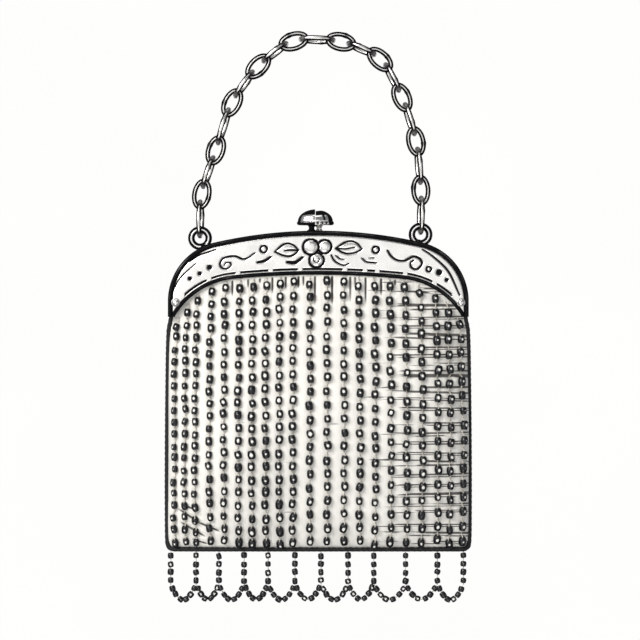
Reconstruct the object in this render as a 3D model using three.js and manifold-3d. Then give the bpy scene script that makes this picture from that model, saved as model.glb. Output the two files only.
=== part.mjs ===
// A beaded bag: a chased metal clasp frame in two hinged halves, a cloth pouch sewn with columns of beads,
// a looped bead fringe along the bottom edge and a handle chain of oval links.
// Millimetres, +Z up, the front faces -Y. The origin is where the bag is carried, under the middle link.
import * as THREE from "three";
import { mergeVertices } from "three/addons/utils/BufferGeometryUtils.js";
import Module from "manifold-3d";

const wasm = await Module();
wasm.setup();

// Driving dimensions
const BAG_HALF_WIDTH = 67.5;
const GAP = 0.3;
const OVERCUT = 2;
const FINE_STEPS = 2000;

const FRAME_TOP_Z = -85;
const FRAME_TOP_RADIUS = 207;
const FRAME_CORNER_RADIUS = 27;
const FRAME_TIP_Z = -123.7;
const FRAME_TIP_WIDTH = 3;
const FRAME_BAND = 19.8;
const FRAME_LOWER_RADIUS = 381;
const FRAME_LOWER_CORNER_START = 38;
const FRAME_FACE_Y = 5.5;
const FRAME_SHEET = 1.1;

const PIN_X = 64;
const PIN_Z = -117.2;
const PIN_RADIUS = 1;
const PIN_HEAD_RADIUS = 1.7;
const PIN_HEAD_HEIGHT = 0.8;
const PIN_SHOULDER_RADIUS = 1.2;
const PIN_SHOULDER_HEIGHT = 0.6;

const EYE_WIRE_RADIUS = 1.5;
const EYE_HOLE_RADIUS = 2.4;
const EYE_Y = 2.8;
const EYE_LEFT = new THREE.Vector3(-53.3, EYE_Y, -88.2);
const EYE_RIGHT = new THREE.Vector3(46.1, EYE_Y, -86.6);

const KNOB_X = -1.3;
const KNOB_BASE_Z = -82.5;
const KNOB_HALF_WIDTH = 8.2;
const KNOB_HALF_DEPTH = 4.9;
const KNOB_HEIGHT = 7.2;
const KNOB_LIP = 1.2;
const KNOB_POST_RADIUS = 1.25;
const KNOB_POST_X = 1.7;
const KNOB_POST_Y = 2.7;
const KNOB_POST_SUNK = 1;

const LINK_WIRE_RADIUS = 1.1;
const LINK_LENGTH = 14.2;
const LINK_WIDTH = 8.8;
const LINK_PLAY = 0.4;
const EDGE_LINK_WIDTH = 10.8;
const EDGE_LINK_TURN = THREE.MathUtils.degToRad(82);

const CLOTH = 1.2;
const POUCH_BOTTOM_Z = -229;
const POUCH_SQUARENESS = 2.6;
const POUCH_PLACES = 41;
const TUCK_MIDDLE = 8;
const TUCK_SIDE = 2.4;
const GATHER_COUNT = 10;
const GATHER_DEPTH = 0.45;
const GATHER_FADE = 0.1;
const FOLD_DEPTH = 0.8;
const FOLD_FROM = new THREE.Vector2(-62, -207);
const FOLD_TO = new THREE.Vector2(-46, -219);
const FOLD_HALF_WIDTH = 3.5;

// The columns are spaced by hand, so a few of them are placed and the rest stand evenly between those.
const COLUMN_PLACES = [
  { column: 0, x: -64.2 },
  { column: 2, x: -55 },
  { column: 5, x: -35.7 },
  { column: 9, x: -11.4 },
  { column: 12, x: 11.6 },
  { column: 15, x: 32.5 },
  { column: 18, x: 53.4 },
  { column: 20, x: 64.2 },
];
const STRING_RADIUS = 1.45;
const STRING_CLEARANCE = 0.6;
const THREAD_RADIUS = 0.45;
const STRING_SIDES = 5;
const STRING_TOP_SHARE = 0.022;
const STRING_BOTTOM_SHARE = 0.985;

// The fringe's strings are spaced by hand too, closer together on the left and wider on the right.
const DROP_X = [-66.4, -55, -44.7, -33.4, -22.6, -10.5, 1.2, 13.4, 25, 39.3, 53.6, 65.3];
const DROP_BEADS = 4;
const SWAG_BEADS = 6;
const FRINGE_PITCH = 3.73;
const FRINGE_SHOULDER_RADIUS = 1.25;
const FRINGE_SHOULDER_SPAN = 2.1;
const SWAG_SAG = 6.4;
const SWAG_OFFSET_Y = 1.5;
const SWAG_END_OFFSET_Y = 1.35;
const SWAG_END_INSET = 0.3;
const SWAG_STEPS = 8;

// The pouch's sections, from the frame's lower edge (share 0) down to the bottom edge (share 1).
const POUCH_SECTIONS = [
  { share: -0.1, halfWidth: 64.9, halfDepth: 4.0 },
  { share: 0.0, halfWidth: 65.6, halfDepth: 4.1 },
  { share: 0.06, halfWidth: 66.7, halfDepth: 5.6 },
  { share: 0.28, halfWidth: 67.2, halfDepth: 9.8 },
  { share: 0.6, halfWidth: 67.5, halfDepth: 12.6 },
  { share: 0.84, halfWidth: 67.5, halfDepth: 9.4 },
  { share: 0.96, halfWidth: 67.3, halfDepth: 4.6 },
  { share: 1.0, halfWidth: 66.6, halfDepth: 2.4 },
];

// The middles of the links that face the front, from the left eye over the top to the right eye.
const FRONT_LINKS = [
  { x: -52.5, z: -68.4 },
  { x: -46.2, z: -48.6 },
  { x: -38.8, z: -27.2 },
  { x: -27.1, z: -10.8 },
  { x: -11.1, z: 0.5 },
  { x: 10.2, z: 0.3 },
  { x: 27.8, z: -7.7 },
  { x: 37.7, z: -24.8 },
  { x: 44, z: -44.6 },
  { x: 46.2, z: -66.6 },
];

// Materials
const silver = new THREE.MeshStandardMaterial({ color: 0xc9c7c1, roughness: 0.32, metalness: 1 });
const cloth = new THREE.MeshStandardMaterial({ color: 0xeee9de, roughness: 0.8, metalness: 0 });
const jet = new THREE.MeshStandardMaterial({ color: 0x1b1b1e, roughness: 0.12, metalness: 0 });

// Closed surfaces from rings of points

function signedVolume(points, triangles) {
  let sum = 0;
  const cross = new THREE.Vector3();
  for (let i = 0; i < triangles.length; i += 3) {
    const [a, b, c] = triangles.slice(i, i + 3).map((k) => points[k]);
    sum += a.dot(cross.crossVectors(b, c));
  }
  return sum;
}

// Joins equal rings into one closed surface: capped at its ends, or run round into a loop.
function loft(rings, looped = false) {
  const count = rings[0].length;
  const points = rings.flat();
  const triangles = [];
  const bands = looped ? rings.length : rings.length - 1;
  for (let i = 0; i < bands; i++) {
    const here = i * count;
    const next = ((i + 1) % rings.length) * count;
    for (let k = 0; k < count; k++) {
      const l = (k + 1) % count;
      triangles.push(here + k, here + l, next + k, here + l, next + l, next + k);
    }
  }
  if (!looped) {
    for (const [ring, turned] of [[0, true], [rings.length - 1, false]]) {
      const middle = points.length;
      const sum = rings[ring].reduce((total, p) => total.add(p), new THREE.Vector3());
      points.push(sum.divideScalar(count));
      for (let k = 0; k < count; k++) {
        const a = ring * count + k;
        const b = ring * count + ((k + 1) % count);
        triangles.push(middle, turned ? b : a, turned ? a : b);
      }
    }
  }
  if (signedVolume(points, triangles) < 0) triangles.reverse();
  return new THREE.BufferGeometry().setFromPoints(points).setIndex(triangles);
}

// A tube through given points with a radius at each of them.
function tube(points, radii, sides) {
  const last = points.length - 1;
  let across = new THREE.Vector3(0, 1, 0);
  const rings = points.map((p, i) => {
    const before = points[Math.max(i - 1, 0)];
    const after = points[Math.min(i + 1, last)];
    const along = after.clone().sub(before).normalize();
    across = across.clone().addScaledVector(along, -across.dot(along)).normalize();
    const up = along.clone().cross(across);
    return Array.from({ length: sides }, (_, k) => {
      const angle = (2 * Math.PI * (k + 0.5)) / sides;
      return p
        .clone()
        .addScaledVector(across, radii[i] * Math.cos(angle))
        .addScaledVector(up, radii[i] * Math.sin(angle));
    });
  });
  return loft(rings);
}

// Joins and cuts

function solid(geometry) {
  const plain = geometry.clone();
  for (const name of ["normal", "uv"]) plain.deleteAttribute(name);
  const merged = mergeVertices(plain, 1e-4);
  return new wasm.Manifold(
    new wasm.Mesh({
      numProp: 3,
      vertProperties: new Float32Array(merged.attributes.position.array),
      triVerts: new Uint32Array(merged.index.array),
    }),
  );
}

function geometryOf(manifold) {
  const mesh = manifold.getMesh();
  return new THREE.BufferGeometry()
    .setAttribute("position", new THREE.BufferAttribute(mesh.vertProperties, 3))
    .setIndex(new THREE.BufferAttribute(mesh.triVerts, 1));
}

// Extrudes an outline drawn in X and Z from y = back to y = front, where front is the smaller.
function slab(shape, front, back) {
  return new THREE.ExtrudeGeometry(shape, { depth: back - front, bevelEnabled: false, curveSegments: 10 })
    .rotateX(Math.PI / 2)
    .translate(0, back, 0);
}

// A round bar along Y, as long on each side of the middle plane.
function barY(radius, x, z, reach) {
  return new THREE.CylinderGeometry(radius, radius, 2 * reach, 12).translate(x, 0, z);
}

const bag = new THREE.Group();

function add(name, geometry, material) {
  const mesh = new THREE.Mesh(geometry, material);
  mesh.name = name;
  bag.add(mesh);
}

const numbered = (k) => String(k + 1).padStart(2, "0");

// Clasp frame

// Centre of the corner arc that runs into the top arc without a kink.
function frameCorner(inset) {
  const x = BAG_HALF_WIDTH - FRAME_CORNER_RADIUS;
  const reach = FRAME_TOP_RADIUS - FRAME_CORNER_RADIUS;
  const topCentreZ = FRAME_TOP_Z - FRAME_TOP_RADIUS;
  return {
    x,
    z: topCentreZ + Math.sqrt(reach * reach - x * x),
    topCentreZ,
    turn: Math.asin(x / reach),
    radius: FRAME_CORNER_RADIUS - inset,
    topRadius: FRAME_TOP_RADIUS - inset,
    sideX: BAG_HALF_WIDTH - inset,
  };
}

// The frame's upper outline from the left side to the right side, starting and ending at endZ.
function frameUpperEdge(shape, inset, endZ) {
  const c = frameCorner(inset);
  shape.moveTo(-c.sideX, endZ);
  shape.lineTo(-c.sideX, c.z);
  shape.absarc(-c.x, c.z, c.radius, Math.PI, Math.PI / 2 + c.turn, true);
  shape.absarc(0, c.topCentreZ, c.topRadius, Math.PI / 2 + c.turn, Math.PI / 2 - c.turn, true);
  shape.absarc(c.x, c.z, c.radius, Math.PI / 2 - c.turn, 0, true);
  shape.lineTo(c.sideX, endZ);
}

// The lower edge is a shallow arc that ends in two corner arcs running out at the tips.
function frameLowerEdge() {
  const middleZ = FRAME_TOP_Z - FRAME_BAND;
  const turn = Math.asin(FRAME_LOWER_CORNER_START / FRAME_LOWER_RADIUS);
  const centreZ = middleZ - FRAME_LOWER_RADIUS;
  const start = new THREE.Vector2(FRAME_LOWER_CORNER_START, centreZ + FRAME_LOWER_RADIUS * Math.cos(turn));
  const tip = new THREE.Vector2(BAG_HALF_WIDTH - FRAME_TIP_WIDTH, FRAME_TIP_Z);
  const inward = new THREE.Vector2(-Math.sin(turn), -Math.cos(turn));
  const chord = tip.clone().sub(start);
  const radius = chord.lengthSq() / (2 * chord.dot(inward));
  const centre = start.clone().addScaledVector(inward, radius);
  const tipAngle = Math.atan2(tip.y - centre.y, tip.x - centre.x);
  return { turn, centreZ, start, tip, radius, centre, tipAngle };
}

const lower = frameLowerEdge();

// Height of the frame's lower edge above a place x.
function lowerEdgeZ(x) {
  const off = Math.min(Math.abs(x), lower.tip.x);
  if (off < lower.start.x) return lower.centreZ + Math.sqrt(FRAME_LOWER_RADIUS ** 2 - off ** 2);
  return lower.centre.y + Math.sqrt(lower.radius ** 2 - (off - lower.centre.x) ** 2);
}

function crescent() {
  const shape = new THREE.Shape();
  frameUpperEdge(shape, 0, FRAME_TIP_Z);
  shape.lineTo(lower.tip.x, lower.tip.y);
  const { centre, radius, tipAngle, turn, centreZ } = lower;
  shape.absarc(centre.x, centre.y, radius, tipAngle, Math.PI / 2 - turn, false);
  shape.absarc(0, centreZ, FRAME_LOWER_RADIUS, Math.PI / 2 - turn, Math.PI / 2 + turn, false);
  shape.absarc(-centre.x, centre.y, radius, Math.PI / 2 + turn, Math.PI - tipAngle, false);
  return shape;
}

// Everything under the sheet of the top edge, so the half is open at its back and below.
function hollow() {
  const shape = new THREE.Shape();
  frameUpperEdge(shape, FRAME_SHEET, FRAME_TIP_Z - OVERCUT);
  return shape;
}

function eye(centre) {
  const radius = EYE_HOLE_RADIUS + EYE_WIRE_RADIUS;
  return new THREE.TorusGeometry(radius, EYE_WIRE_RADIUS, 6, 16)
    .rotateX(Math.PI / 2)
    .translate(centre.x, centre.y, centre.z);
}

function frameHalf(isFront) {
  const part = GAP / 2;
  const inner = FRAME_FACE_Y - FRAME_SHEET;
  const [front, back] = isFront ? [-FRAME_FACE_Y, -part] : [part, FRAME_FACE_Y];
  const [hollowFront, hollowBack] = isFront ? [-inner, OVERCUT] : [-OVERCUT, inner];
  let half = solid(slab(crescent(), front, back)).subtract(solid(slab(hollow(), hollowFront, hollowBack)));
  for (const side of [-1, 1]) {
    const hole = barY(PIN_RADIUS + GAP, side * PIN_X, PIN_Z, FRAME_FACE_Y + OVERCUT);
    half = half.subtract(solid(hole));
  }
  if (!isFront) for (const centre of [EYE_LEFT, EYE_RIGHT]) half = half.add(solid(eye(centre)));
  return geometryOf(half);
}

add("frame_front", frameHalf(true), silver);
add("frame_back", frameHalf(false), silver);

// Hinge pins: a rivet through both halves, with a low head outside each face.
function hingePin(x) {
  const seat = FRAME_FACE_Y + GAP;
  const profile = [
    [0, -seat - PIN_HEAD_HEIGHT],
    [PIN_SHOULDER_RADIUS, -seat - PIN_SHOULDER_HEIGHT],
    [PIN_HEAD_RADIUS, -seat],
    [PIN_RADIUS, -seat],
    [PIN_RADIUS, seat],
    [PIN_HEAD_RADIUS, seat],
    [PIN_SHOULDER_RADIUS, seat + PIN_SHOULDER_HEIGHT],
    [0, seat + PIN_HEAD_HEIGHT],
  ].map(([r, y]) => new THREE.Vector2(r, y));
  return new THREE.LatheGeometry(profile, 12).translate(x, 0, PIN_Z);
}

add("hinge_pin_left", hingePin(-PIN_X), silver);
add("hinge_pin_right", hingePin(PIN_X), silver);

// Snap clasp: one dome split across the middle, each half on a post of its own.
// The left half belongs to the front of the frame and the right half to the back.
function knobHalf(side) {
  const steps = 6;
  const profile = [new THREE.Vector2(0, 0), new THREE.Vector2(KNOB_HALF_WIDTH, 0)];
  for (let i = 0; i <= steps; i++) {
    const angle = (Math.PI / 2) * (i / steps);
    const height = KNOB_LIP + (KNOB_HEIGHT - KNOB_LIP) * Math.sin(angle);
    profile.push(new THREE.Vector2(i === steps ? 0 : KNOB_HALF_WIDTH * Math.cos(angle), height));
  }
  const dome = new THREE.LatheGeometry(profile, 24)
    .rotateX(Math.PI / 2)
    .scale(1, KNOB_HALF_DEPTH / KNOB_HALF_WIDTH, 1);
  const length = 2 * KNOB_HALF_WIDTH;
  const keep = new THREE.BoxGeometry(length, length, length).translate(side * (length / 2 + GAP), 0, 0);
  const seatZ = FRAME_TOP_Z + GAP - KNOB_BASE_Z;
  const post = new THREE.CylinderGeometry(KNOB_POST_RADIUS, KNOB_POST_RADIUS, KNOB_POST_SUNK - seatZ, 10)
    .rotateX(Math.PI / 2)
    .translate(side * KNOB_POST_X, side * KNOB_POST_Y, (KNOB_POST_SUNK + seatZ) / 2);
  const half = solid(dome).intersect(solid(keep)).add(solid(post));
  return geometryOf(half).translate(KNOB_X, 0, KNOB_BASE_Z);
}

add("clasp_knob_left", knobHalf(-1), silver);
add("clasp_knob_right", knobHalf(1), silver);

// Handle chain

// An oval wire loop whose wire turns back at two given points, turned about its own length.
function chainLink(from, to, width, turn) {
  const steps = 12;
  const sides = 6;
  const middle = from.clone().lerp(to, 0.5);
  const along = to.clone().sub(from);
  const halfLength = along.length() / 2;
  const halfWidth = width / 2 - LINK_WIRE_RADIUS;
  along.normalize();
  const flat = new THREE.Vector3(0, 1, 0).cross(along).applyAxisAngle(along, turn);
  const normal = along.clone().cross(flat);
  const rings = Array.from({ length: steps }, (_, i) => {
    const angle = (2 * Math.PI * i) / steps;
    const [cos, sin] = [Math.cos(angle), Math.sin(angle)];
    const centre = middle
      .clone()
      .addScaledVector(along, halfLength * cos)
      .addScaledVector(flat, halfWidth * sin);
    const outward = along.clone().multiplyScalar(halfWidth * cos).addScaledVector(flat, halfLength * sin);
    outward.normalize();
    return Array.from({ length: sides }, (_, k) => {
      const around = (2 * Math.PI * k) / sides;
      return centre
        .clone()
        .addScaledVector(outward, LINK_WIRE_RADIUS * Math.cos(around))
        .addScaledVector(normal, LINK_WIRE_RADIUS * Math.sin(around));
    });
  });
  return loft(rings, true);
}

// The end links hang in the eyes, under the eyes' upper wire.
function hungIn(eye) {
  return new THREE.Vector3(eye.x, EYE_Y, eye.z + EYE_HOLE_RADIUS - LINK_PLAY - LINK_WIRE_RADIUS);
}

// Front links lie along the line between their neighbours, and the edge-on links reach from one to the next.
function chainLinks() {
  const middles = FRONT_LINKS.map(({ x, z }) => new THREE.Vector3(x, EYE_Y, z));
  const stations = [hungIn(EYE_LEFT), ...middles, hungIn(EYE_RIGHT)];
  const turnBack = LINK_LENGTH / 2 - LINK_WIRE_RADIUS;
  const seat = turnBack - 2 * LINK_WIRE_RADIUS - LINK_PLAY;
  const links = [];
  let from = stations[0];
  middles.forEach((middle, i) => {
    const way = stations[i + 2].clone().sub(stations[i]).normalize();
    const at = (distance) => middle.clone().addScaledVector(way, distance);
    links.push(chainLink(from, at(-seat), EDGE_LINK_WIDTH, EDGE_LINK_TURN));
    links.push(chainLink(at(-turnBack), at(turnBack), LINK_WIDTH, 0));
    from = at(seat);
  });
  links.push(chainLink(from, stations.at(-1), EDGE_LINK_WIDTH, EDGE_LINK_TURN));
  return links;
}

chainLinks().forEach((link, i) => add(`chain_link_${numbered(i)}`, link, silver));

// Pouch

// A smooth curve through one column of the section table.
function section(column, share) {
  const rows = POUCH_SECTIONS;
  const s = THREE.MathUtils.clamp(share, rows[0].share, rows.at(-1).share);
  const i = Math.min(rows.findLastIndex((row) => row.share <= s), rows.length - 2);
  const slope = (k) => {
    const a = rows[Math.max(k - 1, 0)];
    const b = rows[Math.min(k + 1, rows.length - 1)];
    return (b[column] - a[column]) / (b.share - a.share);
  };
  const [a, b] = [rows[i], rows[i + 1]];
  const span = b.share - a.share;
  const t = (s - a.share) / span;
  const [t2, t3] = [t * t, t * t * t];
  return (
    (2 * t3 - 3 * t2 + 1) * a[column] +
    (t3 - 2 * t2 + t) * span * slope(i) +
    (3 * t2 - 2 * t3) * b[column] +
    (t3 - t2) * span * slope(i + 1)
  );
}

// Height at a share of the way from the frame's lower edge to the bottom edge, for a place across the bag.
function pouchZ(across, share) {
  const top = lowerEdgeZ(across * BAG_HALF_WIDTH);
  return top + (POUCH_BOTTOM_Z - top) * share;
}

// The share at which the cloth's upper edge is tucked in behind the frame.
function rimShare(across) {
  const tuck = THREE.MathUtils.lerp(TUCK_MIDDLE, TUCK_SIDE, Math.abs(across) ** 3);
  return -tuck / (lowerEdgeZ(across * BAG_HALF_WIDTH) - POUCH_BOTTOM_Z);
}

// Depth of the soft diagonal fold at the lower left corner of the front.
function cornerFold(x, z) {
  const along = FOLD_TO.clone().sub(FOLD_FROM);
  const from = new THREE.Vector2(x, z).sub(FOLD_FROM.clone().lerp(FOLD_TO, 0.5));
  const lengthways = from.dot(along) / (along.lengthSq() / 2);
  const sideways = from.cross(along) / along.length() / FOLD_HALF_WIDTH;
  return FOLD_DEPTH * Math.exp(-(lengthways ** 4) - sideways ** 2);
}

// A point of the cloth: across runs from -1 to 1, side is -1 at the front and 1 at the back.
function pouchPoint(across, side, share, inset = 0) {
  const halfWidth = section("halfWidth", share) - inset;
  const below = THREE.MathUtils.smoothstep(share, 0, GATHER_FADE / 2);
  const gather = GATHER_DEPTH * below * Math.exp(-((share / GATHER_FADE) ** 2));
  const x = across * halfWidth;
  const z = pouchZ(across, share);
  const fold = side < 0 ? cornerFold(x, z) : 0;
  const halfDepth = section("halfDepth", share) - inset + gather * Math.cos(Math.PI * across * GATHER_COUNT);
  const round = (1 - Math.abs(across) ** POUCH_SQUARENESS) ** (1 / POUCH_SQUARENESS);
  return new THREE.Vector3(x, side * (halfDepth * round - fold), z);
}

// Places across the bag from side to side, spaced evenly round the belly's section.
function evenPlaces(count) {
  const at = (i) => Math.sin((Math.PI / 2) * ((2 * i) / FINE_STEPS - 1));
  const lengths = [0];
  for (let i = 1; i <= FINE_STEPS; i++) {
    const step = pouchPoint(at(i), -1, 0.5).distanceTo(pouchPoint(at(i - 1), -1, 0.5));
    lengths.push(lengths.at(-1) + step);
  }
  return Array.from({ length: count }, (_, k) => {
    const wanted = (lengths.at(-1) * k) / (count - 1);
    return at(lengths.findIndex((length) => length >= wanted - 1e-9));
  });
}

function pouch() {
  const places = evenPlaces(POUCH_PLACES);
  const levels = [0, 0.05, 0.1, 0.18, 0.3, 0.48, 0.66, 0.8, 0.87, 0.93, 0.97, 1];
  const round = [
    ...places.slice(0, -1).map((across) => [across, -1]),
    ...places.slice(1).reverse().map((across) => [across, 1]),
  ];
  const bottomShare = (across, inset) => 1 - inset / (lowerEdgeZ(across * BAG_HALF_WIDTH) - POUCH_BOTTOM_Z);
  const wall = (inset) =>
    levels.map((level) =>
      round.map(([across, side]) => {
        const share = THREE.MathUtils.lerp(rimShare(across), bottomShare(across, inset), level);
        return pouchPoint(across, side, share, inset);
      }),
    );
  return loft([...wall(0).reverse(), ...wall(CLOTH)]);
}

add("pouch", pouch(), cloth);

function columnX(k) {
  const next = COLUMN_PLACES.findIndex(({ column }) => column >= k);
  const b = COLUMN_PLACES[Math.max(next, 1)];
  const a = COLUMN_PLACES[Math.max(next, 1) - 1];
  return THREE.MathUtils.mapLinear(k, a.column, b.column, a.x, b.x);
}

// Bead columns: on each side one thread runs down a column, along the edge and up the next.
function beadStrings(side) {
  const shares = [0, 0.14, 0.36, 0.6, 0.8, 0.93, 1].map((level) =>
    THREE.MathUtils.lerp(STRING_TOP_SHARE, STRING_BOTTOM_SHARE, level),
  );
  const count = COLUMN_PLACES.at(-1).column + 1;
  const places = Array.from({ length: count }, (_, k) => columnX(k) / BAG_HALF_WIDTH);
  const points = [];
  const radii = [];
  const lay = (across, share, radius) => {
    const step = 1e-3;
    const here = pouchPoint(across, side, share);
    const acrossWay = pouchPoint(across + step, side, share).sub(here);
    const downWay = pouchPoint(across, side, share + step).sub(here);
    const outward = acrossWay.cross(downWay).normalize();
    if (outward.y * side < 0) outward.negate();
    points.push(here.addScaledVector(outward, STRING_RADIUS + STRING_CLEARANCE));
    radii.push(radius);
  };
  places.forEach((across, k) => {
    const down = k % 2 === 0;
    const order = down ? shares : [...shares].reverse();
    order.forEach((share) => lay(across, share, STRING_RADIUS));
    if (k === places.length - 1) return;
    for (const part of [0.3, 0.7]) {
      lay(THREE.MathUtils.lerp(across, places[k + 1], part), order.at(-1), THREAD_RADIUS);
    }
  });
  return tube(points, radii, STRING_SIDES);
}

add("bead_strings_front", beadStrings(-1), jet);
add("bead_strings_back", beadStrings(1), jet);

// Looped fringe

// Beads along a route: a narrow thread that swells at each bead.
function beadedString(route, count) {
  const points = [];
  const radii = [];
  const length = route.getLength();
  const put = (distance, radius) => {
    points.push(route.getPointAt(THREE.MathUtils.clamp(distance / length, 0, 1)));
    radii.push(radius);
  };
  put(0, THREAD_RADIUS);
  for (let i = 0; i < count; i++) {
    const middle = (length * (i + 0.5)) / count;
    put(middle - FRINGE_SHOULDER_SPAN / 2, FRINGE_SHOULDER_RADIUS);
    put(middle + FRINGE_SHOULDER_SPAN / 2, FRINGE_SHOULDER_RADIUS);
    put((length * (i + 1)) / count, THREAD_RADIUS);
  }
  return tube(points, radii, STRING_SIDES);
}

const dropTopZ = POUCH_BOTTOM_Z - GAP;
const dropBottomZ = dropTopZ - DROP_BEADS * FRINGE_PITCH;

function fringeDrop(x) {
  const top = new THREE.Vector3(x, 0, dropTopZ);
  return beadedString(new THREE.LineCurve3(top, new THREE.Vector3(x, 0, dropBottomZ)), DROP_BEADS);
}

// A loop from drop to drop, hanging a little in front of or behind the one before it.
function fringeSwag(k) {
  const side = k % 2 === 0 ? -1 : 1;
  const endZ = dropBottomZ - GAP;
  const points = Array.from({ length: SWAG_STEPS + 1 }, (_, i) => {
    const t = i / SWAG_STEPS;
    const sag = 4 * t * (1 - t);
    const x = THREE.MathUtils.lerp(DROP_X[k] + SWAG_END_INSET, DROP_X[k + 1] - SWAG_END_INSET, t);
    const y = THREE.MathUtils.lerp(SWAG_END_OFFSET_Y, SWAG_OFFSET_Y, Math.sqrt(sag));
    return new THREE.Vector3(x, side * y, endZ - SWAG_SAG * sag);
  });
  return beadedString(new THREE.CatmullRomCurve3(points), SWAG_BEADS);
}

DROP_X.forEach((x, k) => add(`fringe_drop_${numbered(k)}`, fringeDrop(x), jet));
for (let k = 0; k < DROP_X.length - 1; k++) add(`fringe_swag_${numbered(k)}`, fringeSwag(k), jet);

export default bag;
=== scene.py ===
# A beaded bag: a chased silver clasp frame, a slubbed silk pouch sewn with columns of jet beads, a looped
# bead fringe and a handle chain. Sizes are in millimetres and turn to metres where a mesh is made.
import math

import bpy
import numpy as np
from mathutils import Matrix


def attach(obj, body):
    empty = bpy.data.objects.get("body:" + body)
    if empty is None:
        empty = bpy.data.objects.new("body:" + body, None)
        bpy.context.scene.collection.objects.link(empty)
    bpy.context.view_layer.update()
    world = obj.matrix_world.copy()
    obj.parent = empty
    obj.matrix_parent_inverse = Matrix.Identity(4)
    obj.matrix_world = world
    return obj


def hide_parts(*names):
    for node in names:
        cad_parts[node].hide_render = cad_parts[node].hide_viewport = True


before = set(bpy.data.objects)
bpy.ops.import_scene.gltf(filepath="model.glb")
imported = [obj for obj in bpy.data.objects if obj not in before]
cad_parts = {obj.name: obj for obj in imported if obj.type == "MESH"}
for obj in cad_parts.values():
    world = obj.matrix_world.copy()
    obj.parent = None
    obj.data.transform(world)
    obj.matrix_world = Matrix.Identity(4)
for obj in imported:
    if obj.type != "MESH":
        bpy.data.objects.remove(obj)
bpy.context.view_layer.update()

# Frame halves: two crescents of sheet silver, each with a returned top edge, a rolled rim and a lower bead.
# The face is chased with a three-berried sprig, leaves and scrolls, and tarnish has stayed in every cut. The
# rim, the lower bead and the frame's lower edge carry painted shade, and the top edge darkens towards the
# rim.
MM = 0.001
HALF_WIDTH = 67.5
TOP_Z = -85.0
TOP_RADIUS = 207.0
CORNER_RADIUS = 27.0
TIP_Z = -123.7
TIP_WIDTH = 3.0
BAND = 19.8
LOWER_RADIUS = 381.0
LOWER_CORNER_START = 38.0

corner_x = HALF_WIDTH - CORNER_RADIUS
corner_reach = TOP_RADIUS - CORNER_RADIUS
top_centre_z = TOP_Z - TOP_RADIUS
corner_z = top_centre_z + math.sqrt(corner_reach**2 - corner_x**2)
corner_turn = math.asin(corner_x / corner_reach)

lower_turn = math.asin(LOWER_CORNER_START / LOWER_RADIUS)
lower_centre_z = TOP_Z - BAND - LOWER_RADIUS
lower_start = np.array([LOWER_CORNER_START, lower_centre_z + LOWER_RADIUS * math.cos(lower_turn)])
lower_tip = np.array([HALF_WIDTH - TIP_WIDTH, TIP_Z])
lower_inward = np.array([-math.sin(lower_turn), -math.cos(lower_turn)])
lower_chord = lower_tip - lower_start
lower_corner_radius = (lower_chord @ lower_chord) / (2 * (lower_chord @ lower_inward))
lower_corner = lower_start + lower_corner_radius * lower_inward
lower_tip_angle = math.atan2(*(lower_tip - lower_corner)[::-1])


def arc(centre, radius, start, end, count=300):
    angles = np.linspace(start, end, count)
    return np.column_stack([centre[0] + radius * np.cos(angles), centre[1] + radius * np.sin(angles)])


QUARTER = math.pi / 2
upper_edge = np.vstack([
    arc((0, top_centre_z), TOP_RADIUS, QUARTER, QUARTER - corner_turn),
    arc((corner_x, corner_z), CORNER_RADIUS, QUARTER - corner_turn, 0),
    [[HALF_WIDTH, TIP_Z]],
])
lower_edge = np.vstack([
    arc((0, lower_centre_z), LOWER_RADIUS, QUARTER, QUARTER - lower_turn),
    arc(lower_corner, lower_corner_radius, QUARTER - lower_turn, lower_tip_angle),
])


def run_along(points):
    """How far along a line each of its points lies."""
    return np.concatenate([[0], np.cumsum(np.linalg.norm(np.diff(points, axis=0), axis=1))])


def both_ways(right_edge, places):
    """Points along an edge and its mirror image, from -1 at the left tip to 1 at the right tip."""
    run = run_along(right_edge)
    at = np.abs(places) * run[-1]
    x = np.interp(at, run, right_edge[:, 0]) * np.sign(places)
    return np.column_stack([x, np.interp(at, run, right_edge[:, 1])])


def depth_from_top(x, z):
    """How far inside the frame's upper outline a place lies."""
    off = np.abs(x)
    corner = CORNER_RADIUS - np.hypot(off - corner_x, z - corner_z)
    top = TOP_RADIUS - np.hypot(x, z - top_centre_z)
    past = np.arctan2(off, z - top_centre_z) > corner_turn
    return np.where(z < corner_z, HALF_WIDTH - off, np.where(past, corner, top))


def height_over_lower(x, z):
    """How far above the frame's lower edge a place lies."""
    off = np.abs(x)
    corner = np.hypot(off - lower_corner[0], z - lower_corner[1]) - lower_corner_radius
    middle = np.hypot(x, z - lower_centre_z) - LOWER_RADIUS
    past = np.arctan2(off, z - lower_centre_z) > lower_turn
    return np.where(past, corner, middle)


# The chased ornament, by where each thing sits on the face.
BERRIES = [  # x, z, radius
    (-3.4, -92.3, 3.5),
    (2.8, -92.2, 3.1),
    (-0.8, -98.3, 3.3),
]
RINGS = [  # x, z, radius
    (-24.5, -93.3, 1.55),
    (25.8, -93.6, 1.5),
    (49.6, -102.3, 1.1),
]
PUNCHED_DOTS = [  # x, z, radius
    (-48.8, -101.5, 1.45),
    (-53.2, -104.2, 1.15),
    (-57.6, -106.5, 1.1),
    (54.2, -103.7, 1.65),
    (57.6, -107.1, 1.1),
]
BERRY_MEETING = (-1.2, -90.0, 1.0, 0.55)  # x, z, width and height of the shade between the upper berries
LEAVES = [  # the leaf's tip, its stalk end, its highest and its lowest place
    ((-19.5, -94.5), (-8.8, -93.9), (-13.6, -90.7), (-13.0, -96.5)),
    ((7.8, -93.0), (19.6, -93.3), (15.0, -89.7), (13.6, -95.4)),
]
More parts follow.
